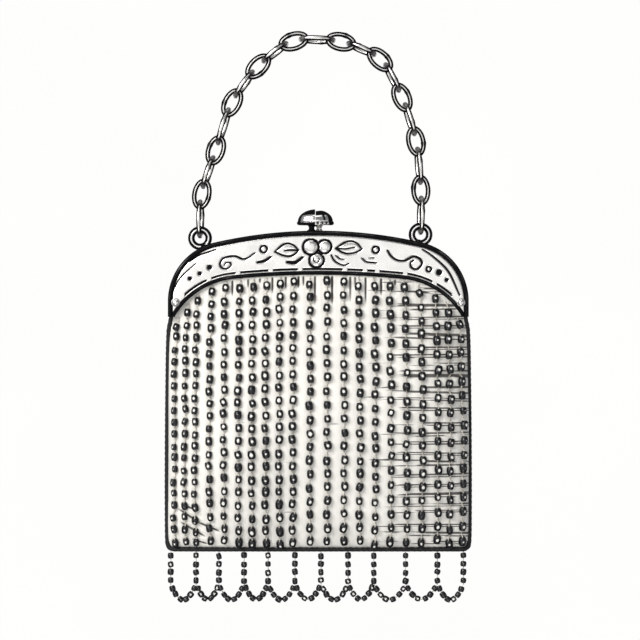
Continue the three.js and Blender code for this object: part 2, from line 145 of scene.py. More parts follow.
STROKES = [  # half the line's width, then the places the graver passes
    (0.60, [(-8.8, -93.9), (-12.0, -93.7), (-15.0, -94.0)]),
    (0.55, [(8.6, -93.0), (12.2, -93.2), (16.4, -92.4)]),
    (1.00, [(-13.9, -99.1), (-10.4, -99.3), (-7.0, -97.0)]),
    (0.90, [(-27.2, -99.2), (-24.2, -98.6), (-21.3, -96.8)]),
    (0.52, [(5.8, -95.9), (7.5, -98.7), (11.2, -100.5), (13.9, -99.7)]),
    (0.43, [(7.8, -96.1), (9.8, -97.6), (11.9, -97.8)]),
    (0.55, [(19.6, -97.3), (21.8, -99.0), (26.1, -99.5)]),
    (0.41, [(22.9, -97.3), (25.4, -97.2)]),
    (0.61, [(-28.3, -95.0), (-31.2, -97.0), (-33.9, -97.7), (-37.1, -96.5), (-40.5, -96.7), (-42.9, -97.7),
            (-44.1, -99.9), (-43.2, -101.7), (-41.2, -102.1), (-39.3, -100.9), (-39.5, -99.4),
            (-41.2, -99.3), (-42.0, -100.4)]),
    (0.67, [(31.1, -93.9), (32.8, -96.5), (35.4, -98.2), (38.4, -98.5), (40.6, -97.6), (42.9, -96.6),
            (45.5, -97.6), (46.5, -99.7), (45.3, -101.7), (43.4, -102.3), (41.6, -101.2), (41.4, -99.5),
            (42.7, -98.3)]),
    (0.46, [(-57.5, -98.7), (-53.2, -95.9), (-45.9, -93.4)]),
    (0.35, [(-65.0, -111.6), (-61.7, -106.0), (-54.9, -99.8)]),
    (0.52, [(46.9, -93.4), (51.4, -96.5), (58.3, -103.2), (63.4, -113.9)]),
]
CHASED_LINE_BREAKS = (-49.0, -36.0, -21.3, -8.2, 12.0, 21.0, 26.5, 39.0, 52.2)
CHASED_LINE_ABOVE = 2.6
CHASED_LINE_WIDTH = 0.6
CHASED_LINE_GAP = 1.0
CHASED_LINE_END = 60.0
LEAF_LINE_WIDTH = 0.58
RING_LINE_WIDTH = 0.55
BERRY_LINE_WIDTH = 0.62
BERRY_MARGIN = 0.5
CROWN_RISE = 0.4
CROWN_RADIUS = 1.35
CROWN_LINE_WIDTH = 0.3
CROWN_TOP = 1.2
STROKE_START = 0.55
STROKE_TAPER = 0.6
STROKE_ENDS = (0.08, 0.92)


def spline(points, spacing=0.2):
    """A smooth line through a few places, as close-set points."""
    p = np.asarray(points, dtype=float)
    p = np.vstack([2 * p[0] - p[1], p, 2 * p[-1] - p[-2]])
    runs = []
    for a, b, c, d in zip(p[:-3], p[1:-2], p[2:-1], p[3:]):
        t = np.linspace(0, 1, max(2, int(np.linalg.norm(c - b) / spacing)), endpoint=False)[:, None]
        bend = (2 * a - 5 * b + 4 * c - d) * t**2 + (3 * b - a - 3 * c + d) * t**3
        runs.append(b + 0.5 * ((c - a) * t + bend))
    return np.vstack([*runs, p[-2:-1]])


def near(distance, width, power=2):
    """1 where the distance is nothing, falling to 0 past the width. A higher power falls more sharply."""
    return np.exp(-((distance / width) ** power))


def dome(share):
    """The height of a round back, from 1 in its middle to 0 at a share of 1 and past it."""
    return np.sqrt(np.clip(1 - share**2, 0, 1))


def graved(x, z, line, half_width):
    """How much of a cut there is at each place: 1 on the line and 0 off it, thin at the line's two ends."""
    cut = np.zeros_like(x)
    low = line.min(axis=0) - 3 * half_width
    high = line.max(axis=0) + 3 * half_width
    close = (x > low[0]) & (x < high[0]) & (z > low[1]) & (z < high[1])
    along = np.linspace(*STROKE_ENDS, len(line))
    swell = half_width * (STROKE_START + (1 - STROKE_START) * np.sin(np.pi * along) ** STROKE_TAPER)
    off = np.hypot(x[close][:, None] - line[:, 0], z[close][:, None] - line[:, 1]) / swell
    cut[close] = near(off.min(axis=1), 1, 4)
    return cut


# Where a leaf's outline bends: the share of the way to its highest or lowest place, and a shift outwards.
UPPER_TIP_BEND = (0.55, (0, 0.8))
UPPER_STALK_BEND = (0.5, (0.4, 0.5))
LOWER_STALK_BEND = (0.5, (0.4, -0.4))
LOWER_TIP_BEND = (0.55, (0, -0.5))
LEAF_THINNEST = 0.05


def part_way(start, end, share, shift):
    """A place between two others, shifted outwards."""
    return np.multiply(start, 1 - share) + np.multiply(end, share) + shift


def leaf_outline(tip, stalk, top, bottom):
    """The leaf's upper line from tip to stalk, and its lower line back to the tip."""
    upper_tip = part_way(tip, top, *UPPER_TIP_BEND)
    upper_stalk = part_way(stalk, top, *UPPER_STALK_BEND)
    lower_stalk = part_way(stalk, bottom, *LOWER_STALK_BEND)
    lower_tip = part_way(tip, bottom, *LOWER_TIP_BEND)
    upper = spline([tip, upper_tip, top, upper_stalk, stalk])
    return upper, spline([stalk, lower_stalk, bottom, lower_tip, tip])


def within(x, z, upper, lower):
    """1 in the middle of a leaf, falling to 0 at its outline."""
    edges = []
    for line in (upper, lower):
        order = np.argsort(line[:, 0])
        edges.append(np.interp(x, line[order, 0], line[order, 1], left=np.nan, right=np.nan))
    top, bottom = edges
    half = np.maximum((top - bottom) / 2, LEAF_THINNEST)
    return np.nan_to_num(dome((z - (top + bottom) / 2) / half))


RIM_WIDTH = 2.15
RIM_HEIGHT = 0.95
RIM_CREST = 0.75
RIM_CREST_WIDTH = 0.28
RIM_FOOT_WIDTH = 0.3
LOWER_BEAD_WIDTH = 1.65
LOWER_BEAD_HEIGHT = 0.75
LOWER_BEAD_CREST = 0.95
LOWER_BEAD_CREST_WIDTH = 0.22
LOWER_BEAD_FOOT_WIDTH = 0.25
RIM_WEAR = 0.2
LOWER_BEAD_WEAR = 0.16
FOOT_DEPTH = 0.12
FOOT_DARK = 0.8
GROUND_CAMBER = 0.45
LEAST_BAND = 0.1
CUT_DEPTH = 0.32
BERRY_HEIGHT = 1.0
LEAF_HEIGHT = 0.55
RING_HEIGHT = 0.3


def chased_face(x, z):
    """Height of the face over its sheet, and how dark the tarnish and the painted shade on the mouldings
    lie, from 0 to 1.
    """
    inside = depth_from_top(x, z)
    above = height_over_lower(x, z)
    share = inside / np.maximum(inside + above, LEAST_BAND)
    height = GROUND_CAMBER * 4 * share * (1 - share)
    dark = np.zeros_like(x)

    for outline in (leaf_outline(*leaf) for leaf in LEAVES):
        height += LEAF_HEIGHT * within(x, z, *outline)
        for line in outline:
            dark = np.maximum(dark, graved(x, z, line, LEAF_LINE_WIDTH))
    for half_width, places in STROKES:
        dark = np.maximum(dark, graved(x, z, spline(places), half_width))
    for ring_x, ring_z, radius in RINGS:
        off = np.hypot(x - ring_x, z - ring_z)
        dark = np.maximum(dark, near(off - radius, RING_LINE_WIDTH, 4))
        height += RING_HEIGHT * dome(off / radius)
    for dot_x, dot_z, radius in PUNCHED_DOTS:
        dark = np.maximum(dark, near(np.hypot(x - dot_x, z - dot_z), radius, 6))
    for berry_x, berry_z, radius in reversed(BERRIES):
        off = np.hypot(x - berry_x, z - berry_z)
        on = off < radius + BERRY_MARGIN
        dark = np.where(on, near(off - radius, BERRY_LINE_WIDTH, 4), dark)
        height = np.where(on, BERRY_HEIGHT * dome(off / radius), height)
    # The lowest berry has a small crown at its eye, and the upper two are shaded where they meet.
    low_x, low_z, _ = BERRIES[-1]
    off = np.hypot(x - low_x, z - low_z - CROWN_RISE)
    crown = near(off - CROWN_RADIUS, CROWN_LINE_WIDTH, 4) * (z < low_z + CROWN_TOP)
    shade_x, shade_z, shade_width, shade_height = BERRY_MEETING
    meeting = near(np.hypot((x - shade_x) / shade_width, (z - shade_z) / shade_height), 1, 4)
    dark = np.maximum.reduce([dark, crown, meeting])

    gap = np.min([np.abs(x - place) for place in CHASED_LINE_BREAKS], axis=0)
    drawn = (gap > CHASED_LINE_GAP) & (np.abs(x) < CHASED_LINE_END)
    dark = np.maximum(dark, near(above - CHASED_LINE_ABOVE, CHASED_LINE_WIDTH, 4) * drawn)
    height = height - CUT_DEPTH * dark

    on_rim = inside < RIM_WIDTH
    on_bead = above < LOWER_BEAD_WIDTH
    rim = RIM_HEIGHT * dome(2 * inside / RIM_WIDTH - 1)
    bead = LOWER_BEAD_HEIGHT * dome(2 * above / LOWER_BEAD_WIDTH - 1)
    height = np.where(on_rim, rim, np.where(on_bead, bead, height))
    # Painted shade: the rim and the lower bead are dark all over, but for a thin bright line along each
    # crest.
    rim_wear = RIM_WEAR * near(inside - RIM_CREST, RIM_CREST_WIDTH)
    bead_wear = LOWER_BEAD_WEAR * near(above - LOWER_BEAD_CREST, LOWER_BEAD_CREST_WIDTH)
    moulding_shade = np.where(on_rim | on_bead, 1 - np.maximum(rim_wear, bead_wear), 0)
    rim_foot = near(inside - RIM_WIDTH, RIM_FOOT_WIDTH)
    foot = np.maximum(rim_foot, near(above - LOWER_BEAD_WIDTH, LOWER_BEAD_FOOT_WIDTH))
    return height - FOOT_DEPTH * foot, np.maximum.reduce([dark, moulding_shade, FOOT_DARK * foot])


class Wire:
    """A shader value. Operators on it add Math nodes, and node() adds any other."""

    def __init__(self, tree, socket=None):
        self.tree = tree
        self.socket = socket

    def node(self, kind, settings, inputs, output=0):
        made = self.tree.nodes.new(kind)
        for key, value in settings.items():
            setattr(made, key, value)
        for key, value in inputs.items():
            if isinstance(value, Wire):
                self.tree.links.new(value.socket, made.inputs[key])
            else:
                made.inputs[key].default_value = value
        return Wire(self.tree, made.outputs[output])

    def math(self, operation, *values):
        return self.node("ShaderNodeMath", {"operation": operation}, dict(enumerate(values)))

    def __add__(self, other):
        return self.math("ADD", self, other)

    def __sub__(self, other):
        return self.math("SUBTRACT", self, other)

    def __rsub__(self, other):
        return self.math("SUBTRACT", other, self)

    def __mul__(self, other):
        return self.math("MULTIPLY", self, other)

    __radd__ = __add__
    __rmul__ = __mul__

    def smooth(self, low, high):
        """0 below low and 1 above high, with a soft step between."""
        settings = {"interpolation_type": "SMOOTHSTEP"}
        return self.node("ShaderNodeMapRange", settings, {0: self, 1: low, 2: high})

    def between(self, first, second):
        """A colour mixed from first, where this is 0, to second, where it is 1."""
        return self.node("ShaderNodeMix", {"data_type": "RGBA"}, {0: self, 6: first, 7: second}, 2)

    def stretched(self, x, y, z):
        return self.node("ShaderNodeVectorMath", {"operation": "MULTIPLY"}, {0: self, 1: (x, y, z)})

    def noise(self, scale, detail=3.0):
        """Noise from -0.5 to 0.5 over this vector."""
        inputs = {"Vector": self, "Scale": scale, "Detail": detail}
        return self.node("ShaderNodeTexNoise", {}, inputs, "Fac") - 0.5

    def axis(self, which):
        """One of this vector's three values."""
        return self.node("ShaderNodeSeparateXYZ", {}, {0: self}, which)

    def object_place(self):
        return self.node("ShaderNodeTexCoord", {}, {}, "Object")

    def attribute(self, name, output="Fac"):
        return self.node("ShaderNodeAttribute", {"attribute_name": name}, {}, output)

    def into(self, shader, name):
        self.tree.links.new(self.socket, shader.inputs[name])

    def raised(self, shader, strength, distance):
        """Lets this height show as relief on the shader, at most a distance in metres."""
        inputs = {"Strength": strength, "Distance": distance, "Height": self}
        self.node("ShaderNodeBump", {}, inputs).into(shader, "Normal")


def new_material(name, settings):
    """A material, its shader with plain settings, and a wire to start expressions from."""
    material = bpy.data.materials.new(name)
    material.use_nodes = True
    shader = material.node_tree.nodes["Principled BSDF"]
    for key, value in settings.items():
        shader.inputs[key].default_value = value
    return material, shader, Wire(material.node_tree)


TARNISH = (0.009, 0.009, 0.010, 1)
DULLED = 0.86
CLOUDS_PER_METRE = 120.0
SPECKS_PER_METRE = 1400.0
SCRATCHES_PER_METRE = 2200.0
SCRATCH_STRETCH = (0.35, 1.0, 3.0)


def silver(name, bright, roughness):
    """Silver with tarnish and painted shade where the mesh's own mark of them says, cloudy wear and fine
    polishing marks.
    """
    material, shader, wire = new_material(name, {"Metallic": 1.0})
    place = wire.object_place()
    patina = wire.attribute("patina")
    cloud = place.noise(CLOUDS_PER_METRE, 4.0)
    speck = place.noise(SPECKS_PER_METRE)
    scratch = place.stretched(*SCRATCH_STRETCH).noise(SCRATCHES_PER_METRE)
    # Real tarnish and painted shade both turn the silver near black here.
    stain_and_shade = (patina + cloud * 0.55).smooth(0.16, 0.86)
    breath = (cloud + speck * 0.3).smooth(-0.3, 0.2)
    dulled = breath.between((*(DULLED * tone for tone in bright), 1), (*bright, 1))
    stain_and_shade.between(dulled, TARNISH).into(shader, "Base Color")
    (stain_and_shade * 0.4 + cloud * 0.12 + speck * 0.1 + roughness).into(shader, "Roughness")
    (scratch * 0.5 + speck * 0.5 - stain_and_shade * 0.4).raised(shader, 0.25, 0.00006)
    return material


def grid_faces(rows, columns, loop_rows=False, loop_columns=False):
    """Four-sided faces over a grid of points that is stored row by row."""
    r = np.arange(rows if loop_rows else rows - 1)[:, None]
    c = np.arange(columns if loop_columns else columns - 1)[None, :]
    r2 = (r + 1) % rows
    c2 = (c + 1) % columns
    corners = [r * columns + c, r * columns + c2, r2 * columns + c2, r2 * columns + c]
    return np.stack(corners, axis=-1).reshape(-1, 4).tolist()


def facing_out(points, faces):
    """The faces of a closed surface, turned round if they point inwards."""
    quads = np.array([face[:4] for face in faces if len(face) >= 4])
    about = points - points.mean(axis=0)
    a, b, c, d = (about[quads[:, k]] for k in range(4))
    volume = np.einsum("ij,ij->", a, np.cross(b, c)) + np.einsum("ij,ij->", a, np.cross(c, d))
    return faces if volume > 0 else [face[::-1] for face in faces]


def loft(rings, looped=False):
    """A closed surface through equal rings of points: capped at both ends, or run round into a loop."""
    rings = np.asarray(rings, dtype=float)
    count, sides, _ = rings.shape
    faces = grid_faces(count, sides, looped, True)
    if not looped:
        last = (count - 1) * sides
        faces += [list(range(sides))[::-1], list(range(last, last + sides))]
    points = rings.reshape(-1, 3)
    return points, facing_out(points, faces)


def joined(surfaces):
    """Several closed surfaces as the points and faces of one piece."""
    points = []
    faces = []
    start = 0
    for own_points, own_faces in surfaces:
        points.append(own_points)
        faces += [[k + start for k in face] for face in own_faces]
        start += len(own_points)
    return np.vstack(points), faces


def make_piece(name, points, faces, material, slot, stands_for=(), sharp=None, **marks):
    """A smooth piece that rides with the bag. Each mark is a value or a vector at the mesh's points."""
    mesh = bpy.data.meshes.new(name)
    mesh.from_pydata((np.asarray(points) * MM).tolist(), [], faces)
    for key, values in marks.items():
        values = np.asarray(values, dtype=float)
        plain = values.ndim == 1
        layer = mesh.attributes.new(key, "FLOAT" if plain else "FLOAT_VECTOR", "POINT")
        layer.data.foreach_set("value" if plain else "vector", values.ravel())
    mesh.polygons.foreach_set("use_smooth", [True] * len(mesh.polygons))
    if sharp:
        mesh.set_sharp_from_angle(angle=math.radians(sharp))
    mesh.materials.append(material)
    piece = bpy.data.objects.new(name, mesh)
    bpy.context.collection.objects.link(piece)
    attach(piece, "root")
    if stands_for:
        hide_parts(*stands_for)
    return piece


SHEET_FACE = 4.95
SHEET_BACK = 4.35
SHEET = 1.1
MEETING_FACE = 0.03
LOWER_EDGE_STEP = 0.25
PLATE_BACK_PARTS = (0.2, 0.4, 0.6, 0.8, 1)
RETURN_PARTS = (0.25, 0.5, 0.75, 1)
TOP_PARTS = (0, 0.03, 0.15, 0.3, 0.45, 0.6, 0.75, 0.88)
ROW_CROWDING = 0.55
MEETING_DARK = 1.0
LOWER_EDGE_SHADE = 0.7
PLATE_BACK_DARK = 0.5
RETURN_DARK = 0.55
TOP_DARK = 0.25
TOP_SHADE_BY_RIM = 0.55
frame_silver = silver("chased_silver", (0.86, 0.84, 0.80), 0.24)


def frame_half(name, side, along_count, across_count, node):
    """One crescent as rings round the sheet: the chased face, the plate's back and the returned top edge."""
    places = np.linspace(-1, 1, along_count)
    outer = both_ways(upper_edge, places)
    reach = both_ways(lower_edge, places) - outer
    sheet = SHEET / np.linalg.norm(reach, axis=1)
    at_rim = np.zeros(along_count)
    # The face's rows lie closer together towards the rim and the lower bead.
    even = np.linspace(0, 1, across_count)
    crowded = 0.5 - 0.5 * np.cos(np.pi * even)
    rows = [(at_rim + share, None, None) for share in (1 - ROW_CROWDING) * even + ROW_CROWDING * crowded]
    # Painted shade: the frame's lower edge is dark.
    for depth in (SHEET_FACE - LOWER_EDGE_STEP, SHEET_BACK):
        rows.append((at_rim + 1, depth, LOWER_EDGE_SHADE))
    for part in PLATE_BACK_PARTS:
        rows.append((1 + (sheet - 1) * part, SHEET_BACK, PLATE_BACK_DARK))
    for part in RETURN_PARTS:
        rows.append((sheet, SHEET_BACK + (MEETING_FACE - SHEET_BACK) * part, RETURN_DARK))
    # Painted shade: the top edge darkens towards the rim. The meeting face is dark as a joint.
    for part in TOP_PARTS:
        dark = TOP_DARK + TOP_SHADE_BY_RIM * part**3 if part > 0 else MEETING_DARK
        rows.append((at_rim, MEETING_FACE + (SHEET_FACE - MEETING_FACE) * part, dark))
    rings = np.zeros((along_count, len(rows), 3))
    patina = np.zeros((along_count, len(rows)))
    for k, (share, depth, dark) in enumerate(rows):
        spot = outer + reach * share[:, None]
        if depth is None:
            height, dark = chased_face(spot[:, 0], spot[:, 1])
            depth = SHEET_FACE + height
        rings[:, k] = np.column_stack([spot[:, 0], np.full(along_count, side) * depth, spot[:, 1]])
        patina[:, k] = dark
    points, faces = loft(rings)
    return make_piece(name, points, faces, frame_silver, "frame_metal", [node], patina=patina.ravel())


FRONT = -1
BACK = 1
FRONT_GRID = (720, 100)  # places along the crescent, rows over its face
BACK_GRID = (440, 84)
frame_pieces = [
    frame_half("chased_frame_front", FRONT, *FRONT_GRID, "frame_front"),
    frame_half("chased_frame_back", BACK, *BACK_GRID, "frame_back"),
]

# Chain eyes: two rings of heavy round silver wire that hang the chain from the back half of the frame.
# Each is soldered to the frame's top edge, with a little collar of solder round its foot.
EYE_WIRE = 1.5
EYE_RADIUS = 3.9
EYE_Y = 2.8
EYE_STEPS = 72
EYE_SIDES = 24
EDGE_STEPS = 2001
EYES = {"left": (-53.3, -88.2), "right": (46.1, -86.6)}  # x, z
TURN = 2 * math.pi


def unit(vectors):
    return vectors / np.linalg.norm(vectors, axis=-1, keepdims=True)


def ring_of_wire(centre, long_axis, wide_axis, half_length, half_width, wire, steps, sides):
    """Rings round a loop of wire, where wire gives the radius at each angle of the loop."""
    normal = np.cross(long_axis, wide_axis)
    rings = []
    for angle in np.linspace(0, TURN, steps, endpoint=False):
        c, s = math.cos(angle), math.sin(angle)
        middle = centre + half_length * c * long_axis + half_width * s * wide_axis
        outward = unit(half_width * c * long_axis + half_length * s * wide_axis)
        around = np.linspace(0, TURN, sides, endpoint=False)[:, None]
        rings.append(middle + wire(angle) * (np.cos(around) * outward + np.sin(around) * normal))
    return np.array(rings)


def lathe(profile, sides, centre, axis, across):
    """A turned shape: the profile gives radius and height along the axis."""
    third_way = np.cross(axis, across)
    around = np.linspace(0, TURN, sides, endpoint=False)[:, None]
    round_way = np.cos(around) * across + np.sin(around) * third_way
    return np.array([centre + height * axis + radius * round_way for radius, height in profile])


X_AXIS = np.array([1.0, 0.0, 0.0])
Y_AXIS = np.array([0.0, 1.0, 0.0])
Z_AXIS = np.array([0.0, 0.0, 1.0])
SOLDER_PROFILE = [  # radius, height
    (0.05, 1.25),
    (0.9, 1.15),
    (1.7, 0.75),
    (2.3, 0.2),
    (2.5, -0.35),
    (2.3, -0.9),
    (0.05, -1.0),
]
SOLDER_SIDES = 28
SOLDER_DARK = 0.85
UNSHADED_FACING = 0.998
SIDE_SHADE_SOFTNESS = 0.04
SIDE_SHADE_SOFTNESS_BY_REACH = 0.3


def side_shade(rings, reach):
    """Painted shade on round wire: dark on its sides, and bright only in a strip that faces straight front
    or back and widens with its reach.
    """
    out = rings - rings.mean(axis=1, keepdims=True)
    facing = np.abs(out[..., 1]) / np.linalg.norm(out, axis=-1)
    return np.clip((UNSHADED_FACING - reach - facing) / (SIDE_SHADE_SOFTNESS + SIDE_SHADE_SOFTNESS_BY_REACH * reach), 0, 1)


def chain_eye(side):
    x, z = EYES[side]
    size = (EYE_RADIUS, EYE_RADIUS, lambda angle: EYE_WIRE, EYE_STEPS, EYE_SIDES)
    rings = ring_of_wire(np.array([x, EYE_Y, z]), X_AXIS, Z_AXIS, *size)
    edge = both_ways(upper_edge, np.linspace(-1, 1, EDGE_STEPS))
    foot_x, foot_z = edge[np.argmin(np.hypot(edge[:, 0] - x, edge[:, 1] - z))]
    away = unit(np.array([x - foot_x, 0, z - foot_z]))
    foot = np.array([foot_x, EYE_Y, foot_z])
    collar = lathe(SOLDER_PROFILE, SOLDER_SIDES, foot, away, np.cross(away, Y_AXIS))
    points, faces = joined([loft(rings, looped=True), loft(collar)])
    solder = np.full(len(SOLDER_PROFILE) * SOLDER_SIDES, SOLDER_DARK)
    # The ring is painted dark with shade except where it faces front or back, and its solder collar is dark.
    patina = np.concatenate([side_shade(rings, 0).ravel(), solder])
    name = f"chain_eye_{side}"
    return make_piece(name, points, faces, frame_silver, "frame_metal", ["frame_back"], patina=patina)


for side in EYES:
    chain_eye(side)

# Hinge rivets: silver pins through the tips of both halves, on which the frame opens.
# Each end is hammered over into a low dome with a fine turned ring.
RIVET_X = 64.0
RIVET_Z = -117.2
RIVET_END = [  # radius and distance from the middle plane, from the shaft out to the crown
    (1.0, 5.3), (1.75, 5.35), (1.95, 5.6), (1.9, 5.85), (1.72, 5.98), (1.6, 5.94), (1.5, 6.05),
    (1.25, 6.38), (0.9, 6.62), (0.45, 6.76), (0.04, 6.8),
]
RIVET_SIDES = 36
RIVET_RING = 1.75
RIVET_RING_WIDTH = 0.3
RIVET_DARK = 0.04
RIVET_RING_DARK = 0.42
rivet_profile = [(r, -h) for r, h in reversed(RIVET_END)] + RIVET_END
for name, x in (("left", -RIVET_X), ("right", RIVET_X)):
    points, faces = loft(lathe(rivet_profile, RIVET_SIDES, np.array([x, 0, RIVET_Z]), Y_AXIS, X_AXIS))
    off = np.hypot(points[:, 0] - x, points[:, 2] - RIVET_Z)
    patina = RIVET_DARK + RIVET_RING_DARK * near(off - RIVET_RING, RIVET_RING_WIDTH)
    make_piece(f"hinge_rivet_{name}", points, faces, frame_silver, "frame_metal", [f"hinge_pin_{name}"],
               patina=patina)

# Snap clasp: one dome of silver split down the middle, each half drawn in below to a post on its own half
# of the frame. The left half is plain with a rolled lip, the right half is fluted over punched dots.
CLASP_X = -1.3
CLASP_BASE_Z = -82.5
CLASP_HALF_WIDTH = 8.2
CLASP_HALF_DEPTH = 4.9
CLASP_HEIGHT = 7.2
CLASP_SPLIT = 0.12
POST_X = 1.7
POST_Y = 2.7
POST_RADIUS = 1.25
POST_SHARE = 0.152
CLASP_PROFILE = [  # share of the half width, height over the base, how far it has drawn in to the post
    (0.01, 7.2, 0), (0.10, 7.17, 0), (0.20, 7.06, 0), (0.31, 6.87, 0), (0.42, 6.59, 0), (0.52, 6.25, 0),
    (0.61, 5.86, 0), (0.69, 5.44, 0), (0.76, 4.98, 0), (0.82, 4.46, 0), (0.87, 3.92, 0), (0.905, 3.36, 0),
    (0.93, 2.8, 0), (0.945, 2.35, 0), (0.945, 2.1, 0), (0.935, 1.95, 0), (0.955, 1.8, 0), (0.98, 1.55, 0),
    (1.0, 1.2, 0), (1.005, 0.85, 0), (0.99, 0.5, 0), (0.955, 0.22, 0), (0.9, 0.06, 0), (0.8, 0.02, 0),
    (0.66, 0.1, 0.05), (0.5, 0.12, 0.2), (0.34, 0.0, 0.5), (0.22, -0.3, 0.85), (0.17, -0.7, 1.0),
    (0.152, -1.1, 1.0), (0.152, -1.7, 1.0), (0.19, -2.1, 1.0), (0.25, -2.35, 1.0), (0.25, -2.5, 1.0),
]
CLASP_SIDES = 120
CLASP_ROWS = 88
CLASP_CROWN_Z = 4.1
CLASP_CROWN_SOFTNESS = 0.8
CLASP_EDGE_SOFTNESS = 0.15
CLASP_LIP_Z = 0.7
CLASP_LIP_WIDTH = 0.85
CLASP_UNDER_Z = 0.2
CLASP_SHARP_ANGLE = 50
CLASP_SHADED_EDGE = 0.68
FLUTED_SHADED_EDGE = 0.82
CLASP_GROOVE = 0.035
CLASP_DIP = 0.75
CLASP_DIP_WIDTH = 2.4
FLUTE_AT = 1.0
FLUTE_WIDTH = 0.11
FLUTE_FOOT_Z = 2.2
SPLIT_MARGIN = 0.02
CLASP_DOT_PITCH = 0.262
CLASP_DOT_Z = 1.0
CLASP_DOT_RADIUS = 0.75
clasp_silver = silver("clasp_silver", (0.86, 0.84, 0.80), 0.2)


def clasp_half(name, side, fluted, stands_for):
    """Half of the dome, flat at the split, that draws in to a round post."""
    around = np.linspace(-QUARTER, TURN - QUARTER, CLASP_SIDES, endpoint=False)
    curve = np.cos(around)
    turn = np.abs(around)
    shaded_edge = FLUTED_SHADED_EDGE if fluted else CLASP_SHADED_EDGE
    fine = np.linspace(0, len(CLASP_PROFILE) - 1, CLASP_ROWS)
    table = np.array(CLASP_PROFILE)
    rows = np.column_stack([np.interp(fine, np.arange(len(table)), table[:, k]) for k in range(3)])
    rings = []
    patina = []
    for share, height, drawn in rows:
        on_dome = drawn == 0
        whole = POST_RADIUS * share / POST_SHARE
        flat_side = np.where(curve > 0, curve, drawn * curve)
        x = (1 - drawn) * share * CLASP_HALF_WIDTH * flat_side + drawn * whole * curve
        y = ((1 - drawn) * share * CLASP_HALF_DEPTH + drawn * whole) * np.sin(around)
        z = np.full(CLASP_SIDES, CLASP_BASE_Z + height)
        # Painted shade: the crown and the sides of the dome are dark.
        crown = np.clip((height - CLASP_CROWN_Z) / CLASP_CROWN_SOFTNESS, 0, 1)
        edge = np.clip((shaded_edge - turn) / CLASP_EDGE_SOFTNESS, 0, 1) * on_dome
        dark = np.maximum(crown, edge)
        if fluted:
            flute = near(turn - FLUTE_AT, FLUTE_WIDTH, 4) * (height > FLUTE_FOOT_Z)
            steps = turn / CLASP_DOT_PITCH % 1 - 0.5
            off = np.hypot(steps * CLASP_DOT_PITCH * CLASP_HALF_WIDTH, height - CLASP_DOT_Z)
            dot = near(off, CLASP_DOT_RADIUS, 4)
            groove = np.maximum(flute, dot) * on_dome * (curve > SPLIT_MARGIN)
            dark = np.maximum(dark, groove)
            x = x * (1 - CLASP_GROOVE * groove)
            y = y * (1 - CLASP_GROOVE * groove)
            rise = (height / CLASP_HEIGHT) ** 2 * on_dome
            z = z - CLASP_DIP * near(x, CLASP_DIP_WIDTH) * rise
        else:
            # Painted shade: the rolled lip and the underside are dark.
            lip = near(height - CLASP_LIP_Z, CLASP_LIP_WIDTH, 4)
            under = float(height < CLASP_UNDER_Z)
            dark = np.maximum(dark, max(lip, under))
        centre_x = CLASP_X + side * (CLASP_SPLIT * (1 - drawn) + POST_X * drawn)
        centre_y = side * POST_Y * drawn
        rings.append(np.column_stack([centre_x + side * x, centre_y + y, z]))
        patina.append(dark)
    points, faces = loft(rings)
    finish = (clasp_silver, "clasp_metal", [stands_for], CLASP_SHARP_ANGLE)
    return make_piece(name, points, faces, *finish, patina=np.concatenate(patina))


clasp_half("clasp_dome_plain", -1, False, "clasp_knob_left")
clasp_half("clasp_dome_fluted", 1, True, "clasp_knob_right")

# Handle chain: oval links of round silver wire, alternately facing the front and edge on.
# Each link is bent from one length and closed with solder, and painted dark with shade except where it faces
# straight front or back.
LINK_COUNT = 21
LINK_WIRE = 1.1
LINK_STEPS = 64
LINK_SIDES = 24
SEAM_ANGLE = 0.42 * math.pi
SEAM_LENGTH = 0.13
SEAM_SWELL = 0.16
SEAM_STAIN = 0.4
SEAM_STAIN_LENGTH = 0.2
EDGE_ON_REACH = 0.085
ENDS_UNSHADED = 0.95
chain_silver = silver("chain_silver", (0.80, 0.78, 0.74), 0.26)


def seamed_wire(angle):
    """The wire's radius at an angle of the link: it swells a little at the solder."""
    return LINK_WIRE * (1 + SEAM_SWELL * near(angle - SEAM_ANGLE, SEAM_LENGTH))


def chain_link(name, node):
    """A smooth link in the place of its CAD link, whose middle and three directions its points give."""
    corners = np.array([vertex.co[:] for vertex in node.data.vertices]) / MM
    centre = corners.mean(axis=0)
    _, _, axes = np.linalg.svd(corners - centre, full_matrices=False)
    half_length, half_width = (np.abs((corners - centre) @ axes[k]).max() - LINK_WIRE for k in range(2))
    size = (half_length, half_width, seamed_wire, LINK_STEPS, LINK_SIDES)
    rings = ring_of_wire(centre, axes[0], axes[1], *size)
    angles = np.linspace(0, TURN, LINK_STEPS, endpoint=False)[:, None]
    seam = near(angles - SEAM_ANGLE, SEAM_STAIN_LENGTH)
    # The edge-on links are left bright over more of their width, and at the ends seen inside their
    # neighbours.
    edge_on = 1 - abs(axes[2][1])
    ends = np.abs(np.cos(angles)) ** 4 * edge_on
    patina = side_shade(rings, EDGE_ON_REACH * edge_on) * (1 - ENDS_UNSHADED * ends) + SEAM_STAIN * seam
    points, faces = loft(rings, looped=True)
    make_piece(f"wire_{name}", points, faces, chain_silver, "chain_metal", [name], patina=patina.ravel())


for k in range(LINK_COUNT):
    name = f"chain_link_{k + 1:02d}"
    chain_link(name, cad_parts[name])

